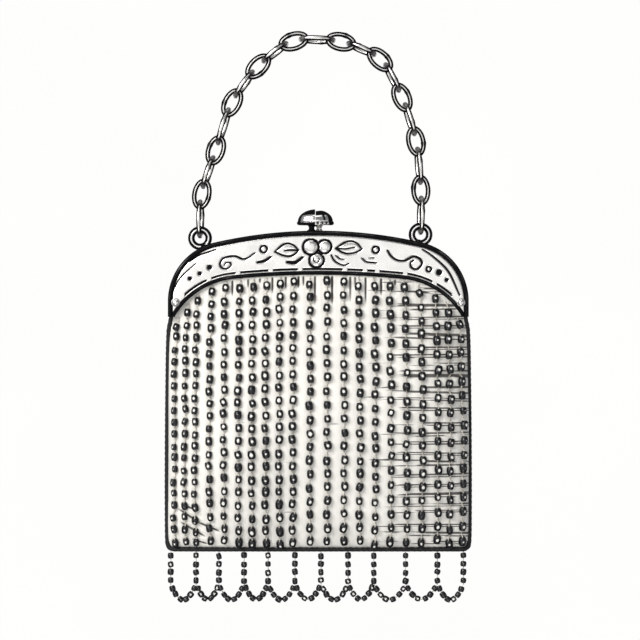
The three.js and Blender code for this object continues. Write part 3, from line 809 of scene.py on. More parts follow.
# Pouch: a flat bag of ivory slubbed silk, cut in one length, seamed up the sides and gathered to the frame.
# The beads' threads draw it in along each column, and it is lined and tucked in behind the frame.
POUCH_BOTTOM_Z = -229.0
SQUARENESS = 2.6
TUCK_MIDDLE = 8.0
TUCK_SIDE = 2.4
POUCH_SECTIONS = np.array([  # share of the way down, half width, half depth
    (-0.1, 64.9, 4.0),
    (0.0, 65.6, 4.1),
    (0.06, 66.7, 5.6),
    (0.28, 67.2, 9.8),
    (0.6, 67.5, 12.6),
    (0.84, 67.5, 9.4),
    (0.96, 67.3, 4.6),
    (1.0, 66.6, 2.4),
])
COLUMN_PLACES = np.array([  # which bead column, and its place across the bag
    (0, -64.2),
    (2, -55.0),
    (5, -35.7),
    (9, -11.4),
    (12, 11.6),
    (15, 32.5),
    (18, 53.4),
    (20, 64.2),
])
CREASES = [  # at the front's lower left corner: start, end, half width and depth
    ((-61.0, -207.6), (-55.6, -210.0), 0.8, 0.4),
    ((-62.6, -209.8), (-52.6, -216.4), 0.85, 0.55),
    ((-53.8, -215.8), (-44.2, -219.9), 0.85, 0.55),
    ((-61.8, -215.7), (-50.6, -222.4), 0.8, 0.5),
    ((-56.6, -223.5), (-49.8, -225.6), 0.7, 0.3),
]
CREASE_LINE = 0.5
CREASE_SHADE = 0.9
RIDGE_OFF = 1.9
RIDGE_WIDTH = 1.3
RIDGE_HEIGHT = 0.7
PLEATS = [  # sharp pleats of the front: place across, length below the frame and depth
    (-38.6, 7.6, 0.5),
    (-31.5, 4.6, 0.3),
    (-26.2, 3.0, 0.3),
    (-20.6, 8.0, 0.35),
    (-14.6, 6.0, 0.5),
    (-8.9, 5.8, 0.5),
    (-6.7, 5.0, 0.35),
    (-1.5, 13.5, 0.35),
    (6.2, 13.5, 0.6),
    (14.3, 12.0, 0.3),
    (16.5, 5.5, 0.3),
    (21.2, 12.0, 0.45),
    (28.2, 8.0, 0.6),
    (34.5, 3.2, 0.5),
]
PLEAT_WIDTH = 0.52
PLEAT_DIP_WIDTH = 1.4
PLEAT_SHADE = 0.5
PLEAT_SHADE_BY_DEPTH = 0.75
BELOW_FRAME = 3.0
FREE_OF_FRAME = 14.0
RISE_BETWEEN = 0.3
RISE_WIDTH = 2.3
COLUMN_DIP = 0.22
COLUMN_DIP_WIDTH = 1.2
CORNER_LIFT = 1.6
CORNER_LIFT_FROM = 0.97
HEM_HEIGHT = 2.0
HEM_PINCH = 2.6
HEM_PULL = 1.0
HEM_SHADE = 0.6
STITCH_REACH = 4.0
shuffle = np.random.default_rng(516)


def lower_edge_z(x):
    """Height of the frame's lower edge above a place across the bag."""
    off = np.minimum(np.abs(x), lower_tip[0])
    middle = lower_centre_z + np.sqrt(LOWER_RADIUS**2 - off**2)
    rise = np.sqrt(np.maximum(lower_corner_radius**2 - (off - lower_corner[0]) ** 2, 0))
    return np.where(off < lower_start[0], middle, lower_corner[1] + rise)


def pouch_section(column, share):
    """A smooth curve through one column of the section table."""
    rows = POUCH_SECTIONS[:, 0]
    value = POUCH_SECTIONS[:, column]
    before = np.maximum(np.arange(len(rows)) - 1, 0)
    after = np.minimum(np.arange(len(rows)) + 1, len(rows) - 1)
    slope = (value[after] - value[before]) / (rows[after] - rows[before])
    s = np.clip(share, rows[0], rows[-1])
    i = np.clip(np.searchsorted(rows, s, side="right") - 1, 0, len(rows) - 2)
    span = rows[i + 1] - rows[i]
    t = (s - rows[i]) / span
    rise = (3 - 2 * t) * t**2
    lean = (t**3 - 2 * t**2 + t) * slope[i] + (t**3 - t**2) * slope[i + 1]
    return value[i] + rise * (value[i + 1] - value[i]) + span * lean


def signed_power(value, power):
    return np.sign(value) * np.abs(value) ** power


def roundness(across):
    """The share of the pouch's depth at a place across it: 1 in the middle and 0 at the seams."""
    return np.maximum(1 - np.abs(across) ** SQUARENESS, 0) ** (1 / SQUARENESS)


def plain_cloth(across, side, share, inset=0.0):
    """A place on the smooth pouch, and the level direction that points out of the cloth there."""
    wide = pouch_section(1, share) - inset
    deep = pouch_section(2, share) - inset
    share_of_depth = roundness(across)
    top = lower_edge_z(across * HALF_WIDTH)
    corner = np.clip((np.abs(across) - CORNER_LIFT_FROM) / (1 - CORNER_LIFT_FROM), 0, 1)
    lift = CORNER_LIFT * corner**2
    z = top + (POUCH_BOTTOM_Z + lift - top) * share
    spot = np.stack(np.broadcast_arrays(across * wide, side * deep * share_of_depth, z), axis=-1)
    lean_x = signed_power(across, SQUARENESS - 1) / wide
    lean_y = side * share_of_depth ** (SQUARENESS - 1) / deep
    out = np.stack(np.broadcast_arrays(lean_x, lean_y, np.zeros_like(z)), axis=-1)
    return spot, unit(out)


BELLY_STEPS = 4001
BELLY_SHARE = 0.5
belly_across = np.sin(np.linspace(-QUARTER, QUARTER, BELLY_STEPS))
belly_run = run_along(plain_cloth(belly_across, FRONT, np.full(BELLY_STEPS, BELLY_SHARE))[0])
CLOTH_WIDTH = belly_run[-1]


def over(across):
    """Millimetres along the cloth from the left seam, measured round the belly."""
    return np.interp(across, belly_across, belly_run)


def even_places(count):
    """Places across the bag from seam to seam, spaced evenly along the cloth."""
    return np.interp(np.linspace(0, CLOTH_WIDTH, count), belly_run, belly_across)


columns = np.interp(np.arange(COLUMN_PLACES[-1, 0] + 1), *COLUMN_PLACES.T) / HALF_WIDTH
column_runs = over(columns)

# Gathers: small pleats where the cloth goes into the frame, no two alike.
GATHERS = 40
GATHER_MARGIN = 3.0
GATHER_SHIFT = 0.9
GATHER_WIDTHS = (0.5, 0.8)
GATHER_DEPTHS = (0.15, 0.95)
GATHER_LENGTHS = (4.0, 11.0)
LONG_GATHERS = 0.2
LONG_GATHER_BY = 1.9
GATHER_SHADE = {FRONT: 0.3, BACK: 1.0}
LEAST_GATHER_SHADE = 0.3


def gathers_of_one_side():
    """The place along the cloth, width, depth and length of each gather."""
    runs = np.linspace(GATHER_MARGIN, CLOTH_WIDTH - GATHER_MARGIN, GATHERS)
    runs = runs + shuffle.uniform(-GATHER_SHIFT, GATHER_SHIFT, GATHERS)
    widths = shuffle.uniform(*GATHER_WIDTHS, GATHERS)
    depths = shuffle.uniform(*GATHER_DEPTHS, GATHERS)
    lengths = shuffle.uniform(*GATHER_LENGTHS, GATHERS)
    lengths = lengths * np.where(shuffle.random(GATHERS) < LONG_GATHERS, LONG_GATHER_BY, 1.0)
    return list(zip(runs, widths, depths, lengths))


gathers = {FRONT: gathers_of_one_side(), BACK: gathers_of_one_side()}
billow_waves = [  # waves over the cloth: per millimetre across, per millimetre down, phase, height
    (0.071, 0.043, shuffle.uniform(0, TURN), 0.28),
    (0.113, -0.061, shuffle.uniform(0, TURN), 0.22),
    (0.037, 0.104, shuffle.uniform(0, TURN), 0.25),
    (0.187, 0.021, shuffle.uniform(0, TURN), 0.14),
]


def cloth_relief(across, side, share, spot):
    """How far the real cloth stands out from the smooth pouch, and how much painted shade lies in its
    pleats, gathers, creases and hem pinch.
    """
    run = over(across)
    down = share * (lower_edge_z(across * HALF_WIDTH) - POUCH_BOTTOM_Z)
    below = np.clip(down / BELOW_FRAME, 0, 1)
    free = np.clip(down / FREE_OF_FRAME, 0, 1)
    relief = np.zeros_like(run * share)
    fold_shade = np.zeros_like(relief)

    off = np.min(np.abs(run[..., None] - column_runs), axis=-1)
    between = RISE_BETWEEN * (1 - near(off, RISE_WIDTH))
    relief += free * (between - COLUMN_DIP * near(off, COLUMN_DIP_WIDTH))
    for place, width, depth, length in gathers[side]:
        pleat = near(run - place, width) * near(down, length) * below
        relief -= depth * pleat
        fold_shade = np.maximum(fold_shade, pleat * min(1, LEAST_GATHER_SHADE + depth) * GATHER_SHADE[side])
    swell = sum(height * np.sin(a * run + b * down + phase + side) for a, b, phase, height in billow_waves)
    relief += free * swell
    if side == FRONT:
        for place, length, depth in PLEATS:
            off = (spot[..., 0] - place) / PLEAT_WIDTH
            fade = near(down, length, 6)
            relief -= depth * fade * below * near(off, PLEAT_DIP_WIDTH)
            shade = (PLEAT_SHADE + PLEAT_SHADE_BY_DEPTH * depth) * fade * np.clip(down, 0, 1)
            fold_shade = np.maximum(fold_shade, shade * near(off, 1))
        for start, end, width, depth in CREASES:
            way = np.subtract(end, start)
            length = np.hypot(*way)
            from_x = spot[..., 0] - start[0]
            from_z = spot[..., 2] - start[1]
            lengthways = (from_x * way[0] + from_z * way[1]) / length**2
            sideways = (from_x * way[1] - from_z * way[0]) / length
            fade = near(2 * lengthways - 1, 1, 6)
            valley = near(sideways, width)
            ridge = near(sideways + RIDGE_OFF * width, RIDGE_WIDTH * width)
            relief += depth * fade * (RIDGE_HEIGHT * ridge - valley)
            fold_shade = np.maximum(fold_shade, CREASE_SHADE * fade * near(sideways, CREASE_LINE * width))
    # The binding's stitches pull the cloth flat along the lower edge and the seams.
    height_left = spot[..., 2] - POUCH_BOTTOM_Z
    pinch = near(height_left, HEM_PINCH)
    from_seam = np.minimum(run, CLOTH_WIDTH - run)
    flat = np.clip((height_left - HEM_HEIGHT) / STITCH_REACH, 0, 1) * np.clip(from_seam / STITCH_REACH, 0, 1)
    return relief * flat - HEM_PULL * pinch, np.maximum(fold_shade, HEM_SHADE * pinch)


def real_cloth(across, side, share):
    """The cloth's outer face with all its relief: places, level outward directions and the painted shade of
    its pleats and creases.
    """
    spot, out = plain_cloth(across, side, share)
    relief, fold_shade = cloth_relief(across, side, share, spot)
    return spot + relief[..., None] * out, out, fold_shade


WARP_SPACING = 0.42
WEFT_SPACING = 0.5
DARK_WEFT_PITCH = 4.7
DARK_WEFT_PAIR = 0.27
DARK_WEFT_WANDER = 14.0
SHADED_SIDE_FROM = 0.6
SHADED_SIDE_FULL = 0.84
SLUB_STRETCH = (0.16, 3.4, 1.0)
WANDER_STRETCH = (0.004, 0.11, 1.0)
PATCH_STRETCH = (0.045, 0.5, 1.0)
MOTTLES_PER_MM = 0.06
IVORY = (0.89, 0.86, 0.79, 1)
SOIL_AND_SHADE = (0.035, 0.03, 0.026, 1)


def slubbed_silk():
    """Ivory silk with uneven weft threads and painted shade: thick dark weft lines that crowd towards the
    right, and darkening in its pleats and creases.
    """
    settings = {"Sheen Weight": 0.2, "Sheen Roughness": 0.4, "IOR": 1.45}
    material, shader, wire = new_material("slubbed_silk", settings)
    place = wire.attribute("cloth_place", "Vector")
    fold_shade = wire.attribute("fold_shade")
    run = place.axis(0)
    height = place.axis(1)
    mottle = place.noise(MOTTLES_PER_MM, 3.0)
    slub = place.stretched(*SLUB_STRETCH).noise(1.0, 2.0)
    warp = wire.math("SINE", run * (TURN / WARP_SPACING))
    weft = wire.math("SINE", height * (TURN / WEFT_SPACING))
    uneven = place.stretched(*WANDER_STRETCH).noise(1.0, 1.0)
    turns = height * (TURN / DARK_WEFT_PITCH) + uneven * DARK_WEFT_WANDER
    upper = wire.math("COSINE", turns).smooth(0.80, 0.93)
    lower = wire.math("COSINE", turns + TURN * DARK_WEFT_PAIR).smooth(0.88, 0.96)
    pair = wire.math("MAXIMUM", upper, lower)
    right = run.smooth(CLOTH_WIDTH * SHADED_SIDE_FROM, CLOTH_WIDTH * SHADED_SIDE_FULL)
    on_front = run.smooth(CLOTH_WIDTH + 3, CLOTH_WIDTH + 1)
    patches = place.stretched(*PATCH_STRETCH).noise(1.0, 2.0)
    # Painted shade: thick dark weft lines, sparse over the cloth, crowd on the right of the front to darken
    # that side.
    thick = pair * (patches + right * on_front * 0.33).smooth(0.2, 0.26)
    thin = slub.smooth(0.1, 0.3)
    ground = (thick * 0.9 + thin * 0.08 + mottle * 0.12 + 0.02).between(IVORY, SOIL_AND_SHADE)
    # Painted shade: the cloth darkens to near black in its pleats, gathers, creases, hem pinch and lining.
    fold_shade.smooth(0.12, 0.62).between(ground, SOIL_AND_SHADE).into(shader, "Base Color")
    (0.62 - thick * 0.12 + mottle * 0.1).into(shader, "Roughness")
    (warp * weft * 0.22 + weft * 0.25 + thick * 0.9 + thin * 0.4).raised(shader, 0.5, 0.00012)
    return material


silk = slubbed_silk()
FRONT_PLACES = 292
BACK_PLACES = 172
TUCK_ROWS = 6
PLEATED_SHARE = 0.15
PLEATED_ROWS = 38
PLAIN_SHARE = 0.72
PLAIN_ROWS = 52
CREASED_ROWS = 66
HEM_BAND = 4.2
HEM_ROWS = 24
CLOSING_PARTS = (0.75, 0.45, 0.15)
CLOSING_DROP = 0.35
LINING_ROWS = 16
LINING_FOOT = 1.6
LINING_INSET = 1.25
LINING_TURN = 0.3
LINING_END_PART = 0.1
LINING_END_DROP = 0.2
LINING_SHADE = 0.5


def cloth_loop():
    """Places round the pouch, over the front from the left seam and back behind, each with its side."""
    front = even_places(FRONT_PLACES)
    back = even_places(BACK_PLACES)[::-1]
    across = np.concatenate([front[:-1], back[:-1]])
    side = np.concatenate([np.full(FRONT_PLACES - 1, FRONT), np.full(BACK_PLACES - 1, BACK)])
    return across, side


def pouch():
    """The outer face from the tucked edge down, closed under the hem, and the lining inside it."""
    across, side = cloth_loop()
    tall = lower_edge_z(across * HALF_WIDTH) - POUCH_BOTTOM_Z
    tuck = TUCK_MIDDLE + (TUCK_SIDE - TUCK_MIDDLE) * np.abs(across) ** 3
    level = np.ones_like(tall)
    hem = 1 - HEM_BAND / tall
    bands = [  # where a band of rows starts and ends, and how many it has
        (-tuck / tall, 0, TUCK_ROWS),
        (0, PLEATED_SHARE * level, PLEATED_ROWS),
        (PLEATED_SHARE * level, PLAIN_SHARE, PLAIN_ROWS),
        (PLAIN_SHARE, hem, CREASED_ROWS),
    ]
    rows = [np.linspace(start, end, count, endpoint=False) for start, end, count in bands]
    shares = np.vstack([*rows, np.linspace(hem, 1, HEM_ROWS)])
    lining_shares = np.linspace(1 - LINING_FOOT / tall, -tuck / tall, LINING_ROWS)
    rings = np.zeros((*shares.shape, 3))
    fold_shade = np.zeros(shares.shape)
    lining = np.zeros((*lining_shares.shape, 3))
    for which in (FRONT, BACK):
        own = side == which
        rings[:, own], _, fold_shade[:, own] = real_cloth(across[own], which, shares[:, own])
        lining[:, own] = plain_cloth(across[own], which, lining_shares[:, own], LINING_INSET)[0]
    closing = []
    for part in CLOSING_PARTS:
        ring = rings[-1] * (1, part, 1)
        ring[:, 2] -= CLOSING_DROP * (1 - part**2)
        closing.append(ring)
    lining[-1, :, 1] = 0.5 * (lining[-1, :, 1] + rings[0, :, 1])
    lining[-1, :, 2] += LINING_TURN
    inner_end = lining[:1] * (1, LINING_END_PART, 1)
    inner_end[..., 2] -= LINING_END_DROP
    whole = np.concatenate([inner_end, lining, rings, np.array(closing)])
    grid = whole.shape[:2]
    fold_shades = np.zeros(grid)
    first = 1 + len(lining)
    # The lining inside the bag is painted half dark with shade.
    fold_shades[:first] = LINING_SHADE
    fold_shades[first : first + len(rings)] = fold_shade
    run = np.where(side == FRONT, over(across), 2 * CLOTH_WIDTH - over(across))
    place = np.stack([np.broadcast_to(run, grid), whole[..., 2], np.zeros(grid)], axis=-1)
    points, faces = loft(whole)
    marks = {"cloth_place": place.reshape(-1, 3), "fold_shade": fold_shades.ravel()}
    return make_piece("silk_pouch", points, faces, silk, "cloth", ["pouch"], **marks)


silk_pouch = pouch()

# Edge binding: a two-ply cord of black silk, sewn down both side seams and along the lower edge.
# It stands a little proud of the seams, and is pulled flat where it covers the hem.
CORD_RADIUS = 1.1
CORD_PROUD = 0.5
HEM_CORD_HEIGHT = 1.08
HEM_CORD_SPARE = 0.9
HEM_CORD_RISE = 0.85
HEM_CORD_Z = POUCH_BOTTOM_Z + HEM_CORD_RISE
CORD_CORNER = 2.6
CORD_TUCK = 1.0
PLY_TURN = 5.0
PLY_RELIEF = 0.06
CORD_SIDES = 16
CORD_STEP = 0.5
CORD_SEAM_STEPS = 200
CORD_CORNER_STEPS = 24
CORD_END_LENGTH = 0.6
CORD_END_LEAST = 0.05
HEM_CORD_SQUARENESS = 0.4
CORD_BLACKS = ((0.004, 0.004, 0.005, 1), (0.014, 0.013, 0.013, 1))
CORD_STRANDS_PER_METRE = 2400.0


def black_silk():
    material, shader, wire = new_material("black_silk_cord", {"IOR": 1.4})
    strand = wire.object_place().stretched(1.0, 1.0, 0.5).noise(CORD_STRANDS_PER_METRE, 2.0)
    strand.smooth(-0.3, 0.3).between(*CORD_BLACKS).into(shader, "Base Color")
    (strand * 0.2 + 0.7).into(shader, "Roughness")
    strand.raised(shader, 0.4, 0.00008)
    return material


def bound_edge():
    """The cord's line down the right seam to the middle of the lower edge, as x and z."""
    top = float(lower_edge_z(HALF_WIDTH))
    turn_z = HEM_CORD_Z + CORD_CORNER
    z = np.linspace(top + CORD_TUCK, turn_z, CORD_SEAM_STEPS)
    x = pouch_section(1, (top - z) / (top - POUCH_BOTTOM_Z)) + CORD_PROUD
    corner = arc((x[-1] - CORD_CORNER, turn_z), CORD_CORNER, 0, -QUARTER, CORD_CORNER_STEPS)
    return np.vstack([np.column_stack([x, z]), corner[1:], [[0.0, HEM_CORD_Z]]])


def edge_binding():
    right = bound_edge()
    whole = np.vstack([right * (-1, 1), right[-2::-1]])
    run = run_along(whole)
    at = np.arange(0, run[-1], CORD_STEP)
    line = np.column_stack([np.interp(at, run, whole[:, k]) for k in range(2)])
    way = unit(np.gradient(line, axis=0))
    outward = np.column_stack([-way[:, 1], way[:, 0]])
    level = way[:, 0] ** 2
    across = np.clip(line[:, 0] / pouch_section(1, 1.0), -1, 1)
    hem_depth = pouch_section(2, 1.0) * roundness(across) + HEM_CORD_SPARE
    high = CORD_RADIUS + (HEM_CORD_HEIGHT - CORD_RADIUS) * level
    deep = CORD_RADIUS + (np.maximum(hem_depth, CORD_RADIUS) - CORD_RADIUS) * level
    from_end = np.minimum(at, at[-1] - at)
    ends = np.minimum(1, np.sqrt(from_end / CORD_END_LENGTH + CORD_END_LEAST))
    around = np.linspace(0, TURN, CORD_SIDES, endpoint=False)
    ply = 1 + PLY_RELIEF * np.cos(2 * (around - TURN * at[:, None] / PLY_TURN))
    square = (1 - HEM_CORD_SQUARENESS * level)[:, None]
    out = (high * ends)[:, None] * ply * signed_power(np.cos(around), square)
    front = (deep * ends)[:, None] * ply * signed_power(np.sin(around), square)
    x = line[:, :1] + out * outward[:, :1]
    z = line[:, 1:] + out * outward[:, 1:]
    rings = np.stack([x, front, z], axis=-1)
    points, faces = loft(rings)
    return make_piece("edge_binding", points, faces, black_silk(), "cloth")


binding = edge_binding()

# Sewn beads: small black glass beads along the columns of both faces, one thread down each column.
# Each has a painted highlight at its crown, a light eye in a black ring.
BEAD_RADIUS = 1.74
BEAD_LENGTH = 3.9
BEAD_HOLE = 0.4
BEAD_PITCH_LEFT = 5.4
BEAD_PITCH_RIGHT = 6.45
BEAD_SINK = 0.2
LOWEST_BEAD_Z = -225.2
LOWEST_BEAD_SHIFT = 2.0
TOP_BEAD_BELOW_FRAME = 3.0
TOP_BEAD_SHIFT = 2.2
ROW_SHIFT = 0.4
SIDE_SHIFT = 0.35
BEAD_SIZES = (0.9, 1.08)
BEAD_LENGTHS = (0.92, 1.06)
BEAD_TILT = 0.12
EYE_SIZES = (0.34, 0.78)
NO_HIGHLIGHT_SHARE = 0.12
LEAST_HIGHLIGHT = 0.05
LEFT_BEAD_SIZE = 0.84
LEFT_EYE_SIZE = 0.5
LEFT_SHARE = 0.5
RIGHT_EYE_LOSS = 0.25
BEAD_AROUND = 14
BEAD_PROFILE = 12
BEAD_SOFTNESS = 1.04
THREAD_RADIUS = 0.24
THREAD_SIDES = 5
THREAD_LIFT = 0.15
THREAD_STEP = 0.9
THREAD_START = 0.005
JET = (0.004, 0.004, 0.005, 1)
HIGHLIGHT_WHITE = (0.80, 0.78, 0.72, 1)
SEED_SHIFT = (37.0, 11.0, 23.0)
EYE_WAVES_PER_MM = 1.1
PITS_PER_MM = 7.0
THREAD_TWISTS_PER_METRE = 2600.0
SLOPE_SHARE = 0.004
THREAD_IVORIES = ((0.52, 0.47, 0.39, 1), (0.84, 0.80, 0.71, 1))


def jet_glass():
    """Black glass with a painted highlight: a ragged white eye at the crown, another on every bead."""
    material, shader, wire = new_material("jet_glass_painted_highlight", {"IOR": 1.48})
    place = wire.attribute("bead_place", "Vector")
    highlight_radius = wire.attribute("highlight_radius")
    seed = wire.attribute("bead_seed")
    x = place.axis(0)
    along = place.axis(2)
    shift = wire.node("ShaderNodeCombineXYZ", {}, {k: seed * by for k, by in enumerate(SEED_SHIFT)})
    spread = wire.node("ShaderNodeVectorMath", {"operation": "ADD"}, {0: place, 1: shift})
    ragged = spread.noise(EYE_WAVES_PER_MM, 3.0)
    pits = spread.noise(PITS_PER_MM, 2.0)
    off = wire.math("SQRT", x * x + along * along * 0.72)
    eye = (off + ragged * 0.7 - highlight_radius).smooth(0.14, -0.14)
    eye.between(JET, HIGHLIGHT_WHITE).into(shader, "Base Color")
    (eye * 0.3 + pits * 0.08 + 0.13).into(shader, "Roughness")
    (pits * 0.6 - eye * 0.5).raised(shader, 0.3, 0.00005)
    return material


def silk_thread():
    material, shader, wire = new_material("ivory_thread", {"Sheen Weight": 0.2})
    twist = wire.object_place().stretched(1.0, 1.0, 1.6).noise(THREAD_TWISTS_PER_METRE, 2.0)
    twist.smooth(-0.25, 0.25).between(*THREAD_IVORIES).into(shader, "Base Color")
    (twist * 0.2 + 0.65).into(shader, "Roughness")
    return material


jet = jet_glass()
thread = silk_thread()
profile_angles = np.linspace(0, TURN, BEAD_PROFILE, endpoint=False) + TURN / BEAD_PROFILE / 2
around_angles = np.linspace(0, TURN, BEAD_AROUND, endpoint=False)
bead_faces = grid_faces(BEAD_AROUND, BEAD_PROFILE, True, True)


def bead_shape(radius, length):
    """Points of one pierced barrel bead about its own middle: across, outwards and along its hole."""
    ring = signed_power(np.cos(profile_angles), BEAD_SOFTNESS)
    rise = signed_power(np.sin(profile_angles), BEAD_SOFTNESS)
    r = (radius + BEAD_HOLE) / 2 + (radius - BEAD_HOLE) / 2 * ring
    h = length / 2 * rise
    spots = [np.column_stack([r * math.cos(a), r * math.sin(a), h]) for a in around_angles]
    return np.vstack(spots)


def strung_beads(name, beads, stands_for):
    """One piece of many beads: each has a middle, three directions, a radius, a length and a painted
    highlight eye.
    """
    surfaces = []
    places = []
    highlight_radius = []
    seeds = []
    for middle, directions, radius, length, eye in beads:
        shape = bead_shape(radius, length)
        surfaces.append((middle + shape @ directions, bead_faces))
        places.append(shape)
        highlight_radius += [eye] * len(shape)
        seeds += [shuffle.uniform(0, 1)] * len(shape)
    points, faces = joined(surfaces)
    marks = {"bead_place": np.vstack(places), "highlight_radius": highlight_radius, "bead_seed": seeds}
    return make_piece(name, points, facing_out(points, faces), jet, "beads", stands_for, **marks)


def tube(points):
    """Rings of a round thread through given points."""
    points = np.asarray(points, dtype=float)
    ways = unit(np.gradient(points, axis=0))
    across = X_AXIS if abs(ways[0][0]) < 0.8 else Y_AXIS
    around = np.linspace(0, TURN, THREAD_SIDES, endpoint=False)[:, None]
    rings = []
    for spot, way in zip(points, ways):
        across = unit(across - way * (across @ way))
        round_way = np.cos(around) * across + np.sin(around) * np.cross(way, across)
        rings.append(spot + THREAD_RADIUS * round_way)
    return np.array(rings)


def bead_directions(out, up):
    """Directions to the right, outwards and up, where up is kept and out is squared to it."""
    up = unit(up)
    out = unit(out - up * (out @ up))
    return np.array([np.cross(out, up), out, up])


def cloth_frame(across, side, share):
    """A place on the real cloth with directions across it, out of it and up the column."""
    shares = share + np.array([-SLOPE_SHARE, 0, SLOPE_SHARE])
    spots, outs, _ = real_cloth(np.full(3, across), side, shares)
    return spots[1], bead_directions(outs[1], spots[0] - spots[2])


def turned(directions, angle):
    """Directions turned about the one that points out of the cloth."""
    right, out, up = directions
    c, s = math.cos(angle), math.sin(angle)
    return np.array([c * right + s * up, out, c * up - s * right])


def sewn_columns(side):
    """The beads of one face, and the thread that runs down each column through them."""
    beads = []
    threads = []
    for across in columns:
        top = float(lower_edge_z(across * HALF_WIDTH))
        tall = top - POUCH_BOTTOM_Z
        pitch = BEAD_PITCH_LEFT + (BEAD_PITCH_RIGHT - BEAD_PITCH_LEFT) * (across + 1) / 2
        highest = top - TOP_BEAD_BELOW_FRAME - shuffle.uniform(0, TOP_BEAD_SHIFT)
        lowest = LOWEST_BEAD_Z + shuffle.uniform(0, LOWEST_BEAD_SHIFT)
        count = round((highest - lowest) / pitch) + 1
        pitch = (highest - lowest) / (count - 1)
        # The leftmost beads are small with small painted highlights, and the highlights shrink again to the
        # right.
        fullness = min(1, max(0, (across + 1) / LEFT_SHARE))
        own_size = LEFT_BEAD_SIZE + (1 - LEFT_BEAD_SIZE) * fullness
        own_eye = (LEFT_EYE_SIZE + (1 - LEFT_EYE_SIZE) * fullness) * (1 - RIGHT_EYE_LOSS * max(0, across))
        spot, directions = cloth_frame(across, side, THREAD_START)
        path = [spot + THREAD_LIFT * directions[1]]
        for row in range(count):
            z = highest - pitch * row + shuffle.uniform(-ROW_SHIFT, ROW_SHIFT)
            slip = shuffle.uniform(-SIDE_SHIFT, SIDE_SHIFT) / HALF_WIDTH
            share = (top - z) / tall
            spot, directions = cloth_frame(across + slip, side, share)
            size = shuffle.uniform(*BEAD_SIZES) * own_size
            radius = BEAD_RADIUS * size
            length = BEAD_LENGTH * size * shuffle.uniform(*BEAD_LENGTHS)
            directions = turned(directions, shuffle.normal(0, BEAD_TILT))
            # Each bead's eye is a painted highlight, and a few beads get only a speck.
            eye = shuffle.uniform(*EYE_SIZES) * own_eye
            eye = eye if shuffle.random() > NO_HIGHLIGHT_SHARE else LEAST_HIGHLIGHT
            middle = spot + (radius - BEAD_SINK) * directions[1]
            beads.append((middle, directions, radius, length, eye))
            reach = 0.5 * length * directions[2]
            path += [middle + reach, middle - reach]
            if row < count - 1:
                spot, directions = cloth_frame(across, side, share + 0.5 * pitch / tall)
                path.append(spot + THREAD_LIFT * directions[1])
        threads.append(loft(tube(spline(path, THREAD_STEP))))
    return beads, threads


for side, name in ((FRONT, "front"), (BACK, "back")):
    beads, threads = sewn_columns(side)
    strung_beads(f"sewn_beads_{name}", beads, [f"bead_strings_{name}"])
    points, faces = joined(threads)
    make_piece(f"bead_thread_{name}", points, faces, thread, "cloth")

# Looped fringe: strings of four beads hang from the lower edge, with loops of six from one to the next.
# They are strung on ivory thread, and the loops lie alternately in front and behind.
DROP_X = (-66.4, -55.0, -44.7, -33.4, -22.6, -10.5, 1.2, 13.4, 25.0, 39.3, 53.6, 65.3)
DROP_BEADS = 4
SWAG_BEADS = 6
FRINGE_PITCH = 3.73
DROP_TOP_Z = POUCH_BOTTOM_Z - 0.3
DROP_BOTTOM_Z = DROP_TOP_Z - DROP_BEADS * FRINGE_PITCH
SWAG_END_Z = DROP_BOTTOM_Z - 0.3
SWAG_SAG = 6.4
SWAG_OFFSET_Y = 1.5
SWAG_END_OFFSET_Y = 1.35
SWAG_END_INSET = 0.3
FRINGE_BEAD_RADIUS = 1.36
FRINGE_BEAD_LENGTH = 2.7
FRINGE_SHIFT = 0.3
FRINGE_TILT = 0.14
FRINGE_SIZES = (0.9, 1.1)
FRINGE_LENGTHS = (0.88, 1.1)
FRINGE_EYES = (0.25, 0.5)
FRINGE_EYE_SHARE = 0.28
SLOPE_STEP = 0.4
DROP_STEPS = 12
SWAG_STEPS = 25


def fringe_string(name, path, count, stands_for):
    """Beads spaced along a hanging path, and their thread as a piece of its own."""
    run = run_along(path)
    beads = []
    for k in range(count):
        at = run[-1] * (k + 0.5) / count + shuffle.uniform(-FRINGE_SHIFT, FRINGE_SHIFT)
        places = np.add(at, (-SLOPE_STEP, 0, SLOPE_STEP))
        before, middle, after = np.column_stack([np.interp(places, run, path[:, i]) for i in range(3)])
        directions = turned(bead_directions(-Y_AXIS, before - after), shuffle.normal(0, FRINGE_TILT))
        radius = FRINGE_BEAD_RADIUS * shuffle.uniform(*FRINGE_SIZES)
        length = FRINGE_BEAD_LENGTH * shuffle.uniform(*FRINGE_LENGTHS)
        # Some fringe beads get a painted highlight eye, and the rest are plain black.
        eye = shuffle.uniform(*FRINGE_EYES) if shuffle.random() < FRINGE_EYE_SHARE else 0.0
        beads.append((middle, directions, radius, length, eye))
    strung_beads(name, beads, [stands_for])
    points, faces = loft(tube(path))
    make_piece(f"{name}_thread", points, faces, thread, "cloth")


for k, x in enumerate(DROP_X):
    path = np.linspace((x, 0, DROP_TOP_Z), (x, 0, DROP_BOTTOM_Z), DROP_STEPS)
    fringe_string(f"bead_drop_{k + 1:02d}", path, DROP_BEADS, f"fringe_drop_{k + 1:02d}")
for k in range(len(DROP_X) - 1):
    side = FRONT if k % 2 == 0 else BACK
    t = np.linspace(0, 1, SWAG_STEPS)
    sag = 4 * t * (1 - t)
    x = (DROP_X[k] + SWAG_END_INSET) * (1 - t) + (DROP_X[k + 1] - SWAG_END_INSET) * t
    y = side * (SWAG_END_OFFSET_Y + (SWAG_OFFSET_Y - SWAG_END_OFFSET_Y) * np.sqrt(sag))
    path = np.column_stack([x, y, SWAG_END_Z - SWAG_SAG * sag])
    fringe_string(f"bead_swag_{k + 1:02d}", path, SWAG_BEADS, f"fringe_swag_{k + 1:02d}")

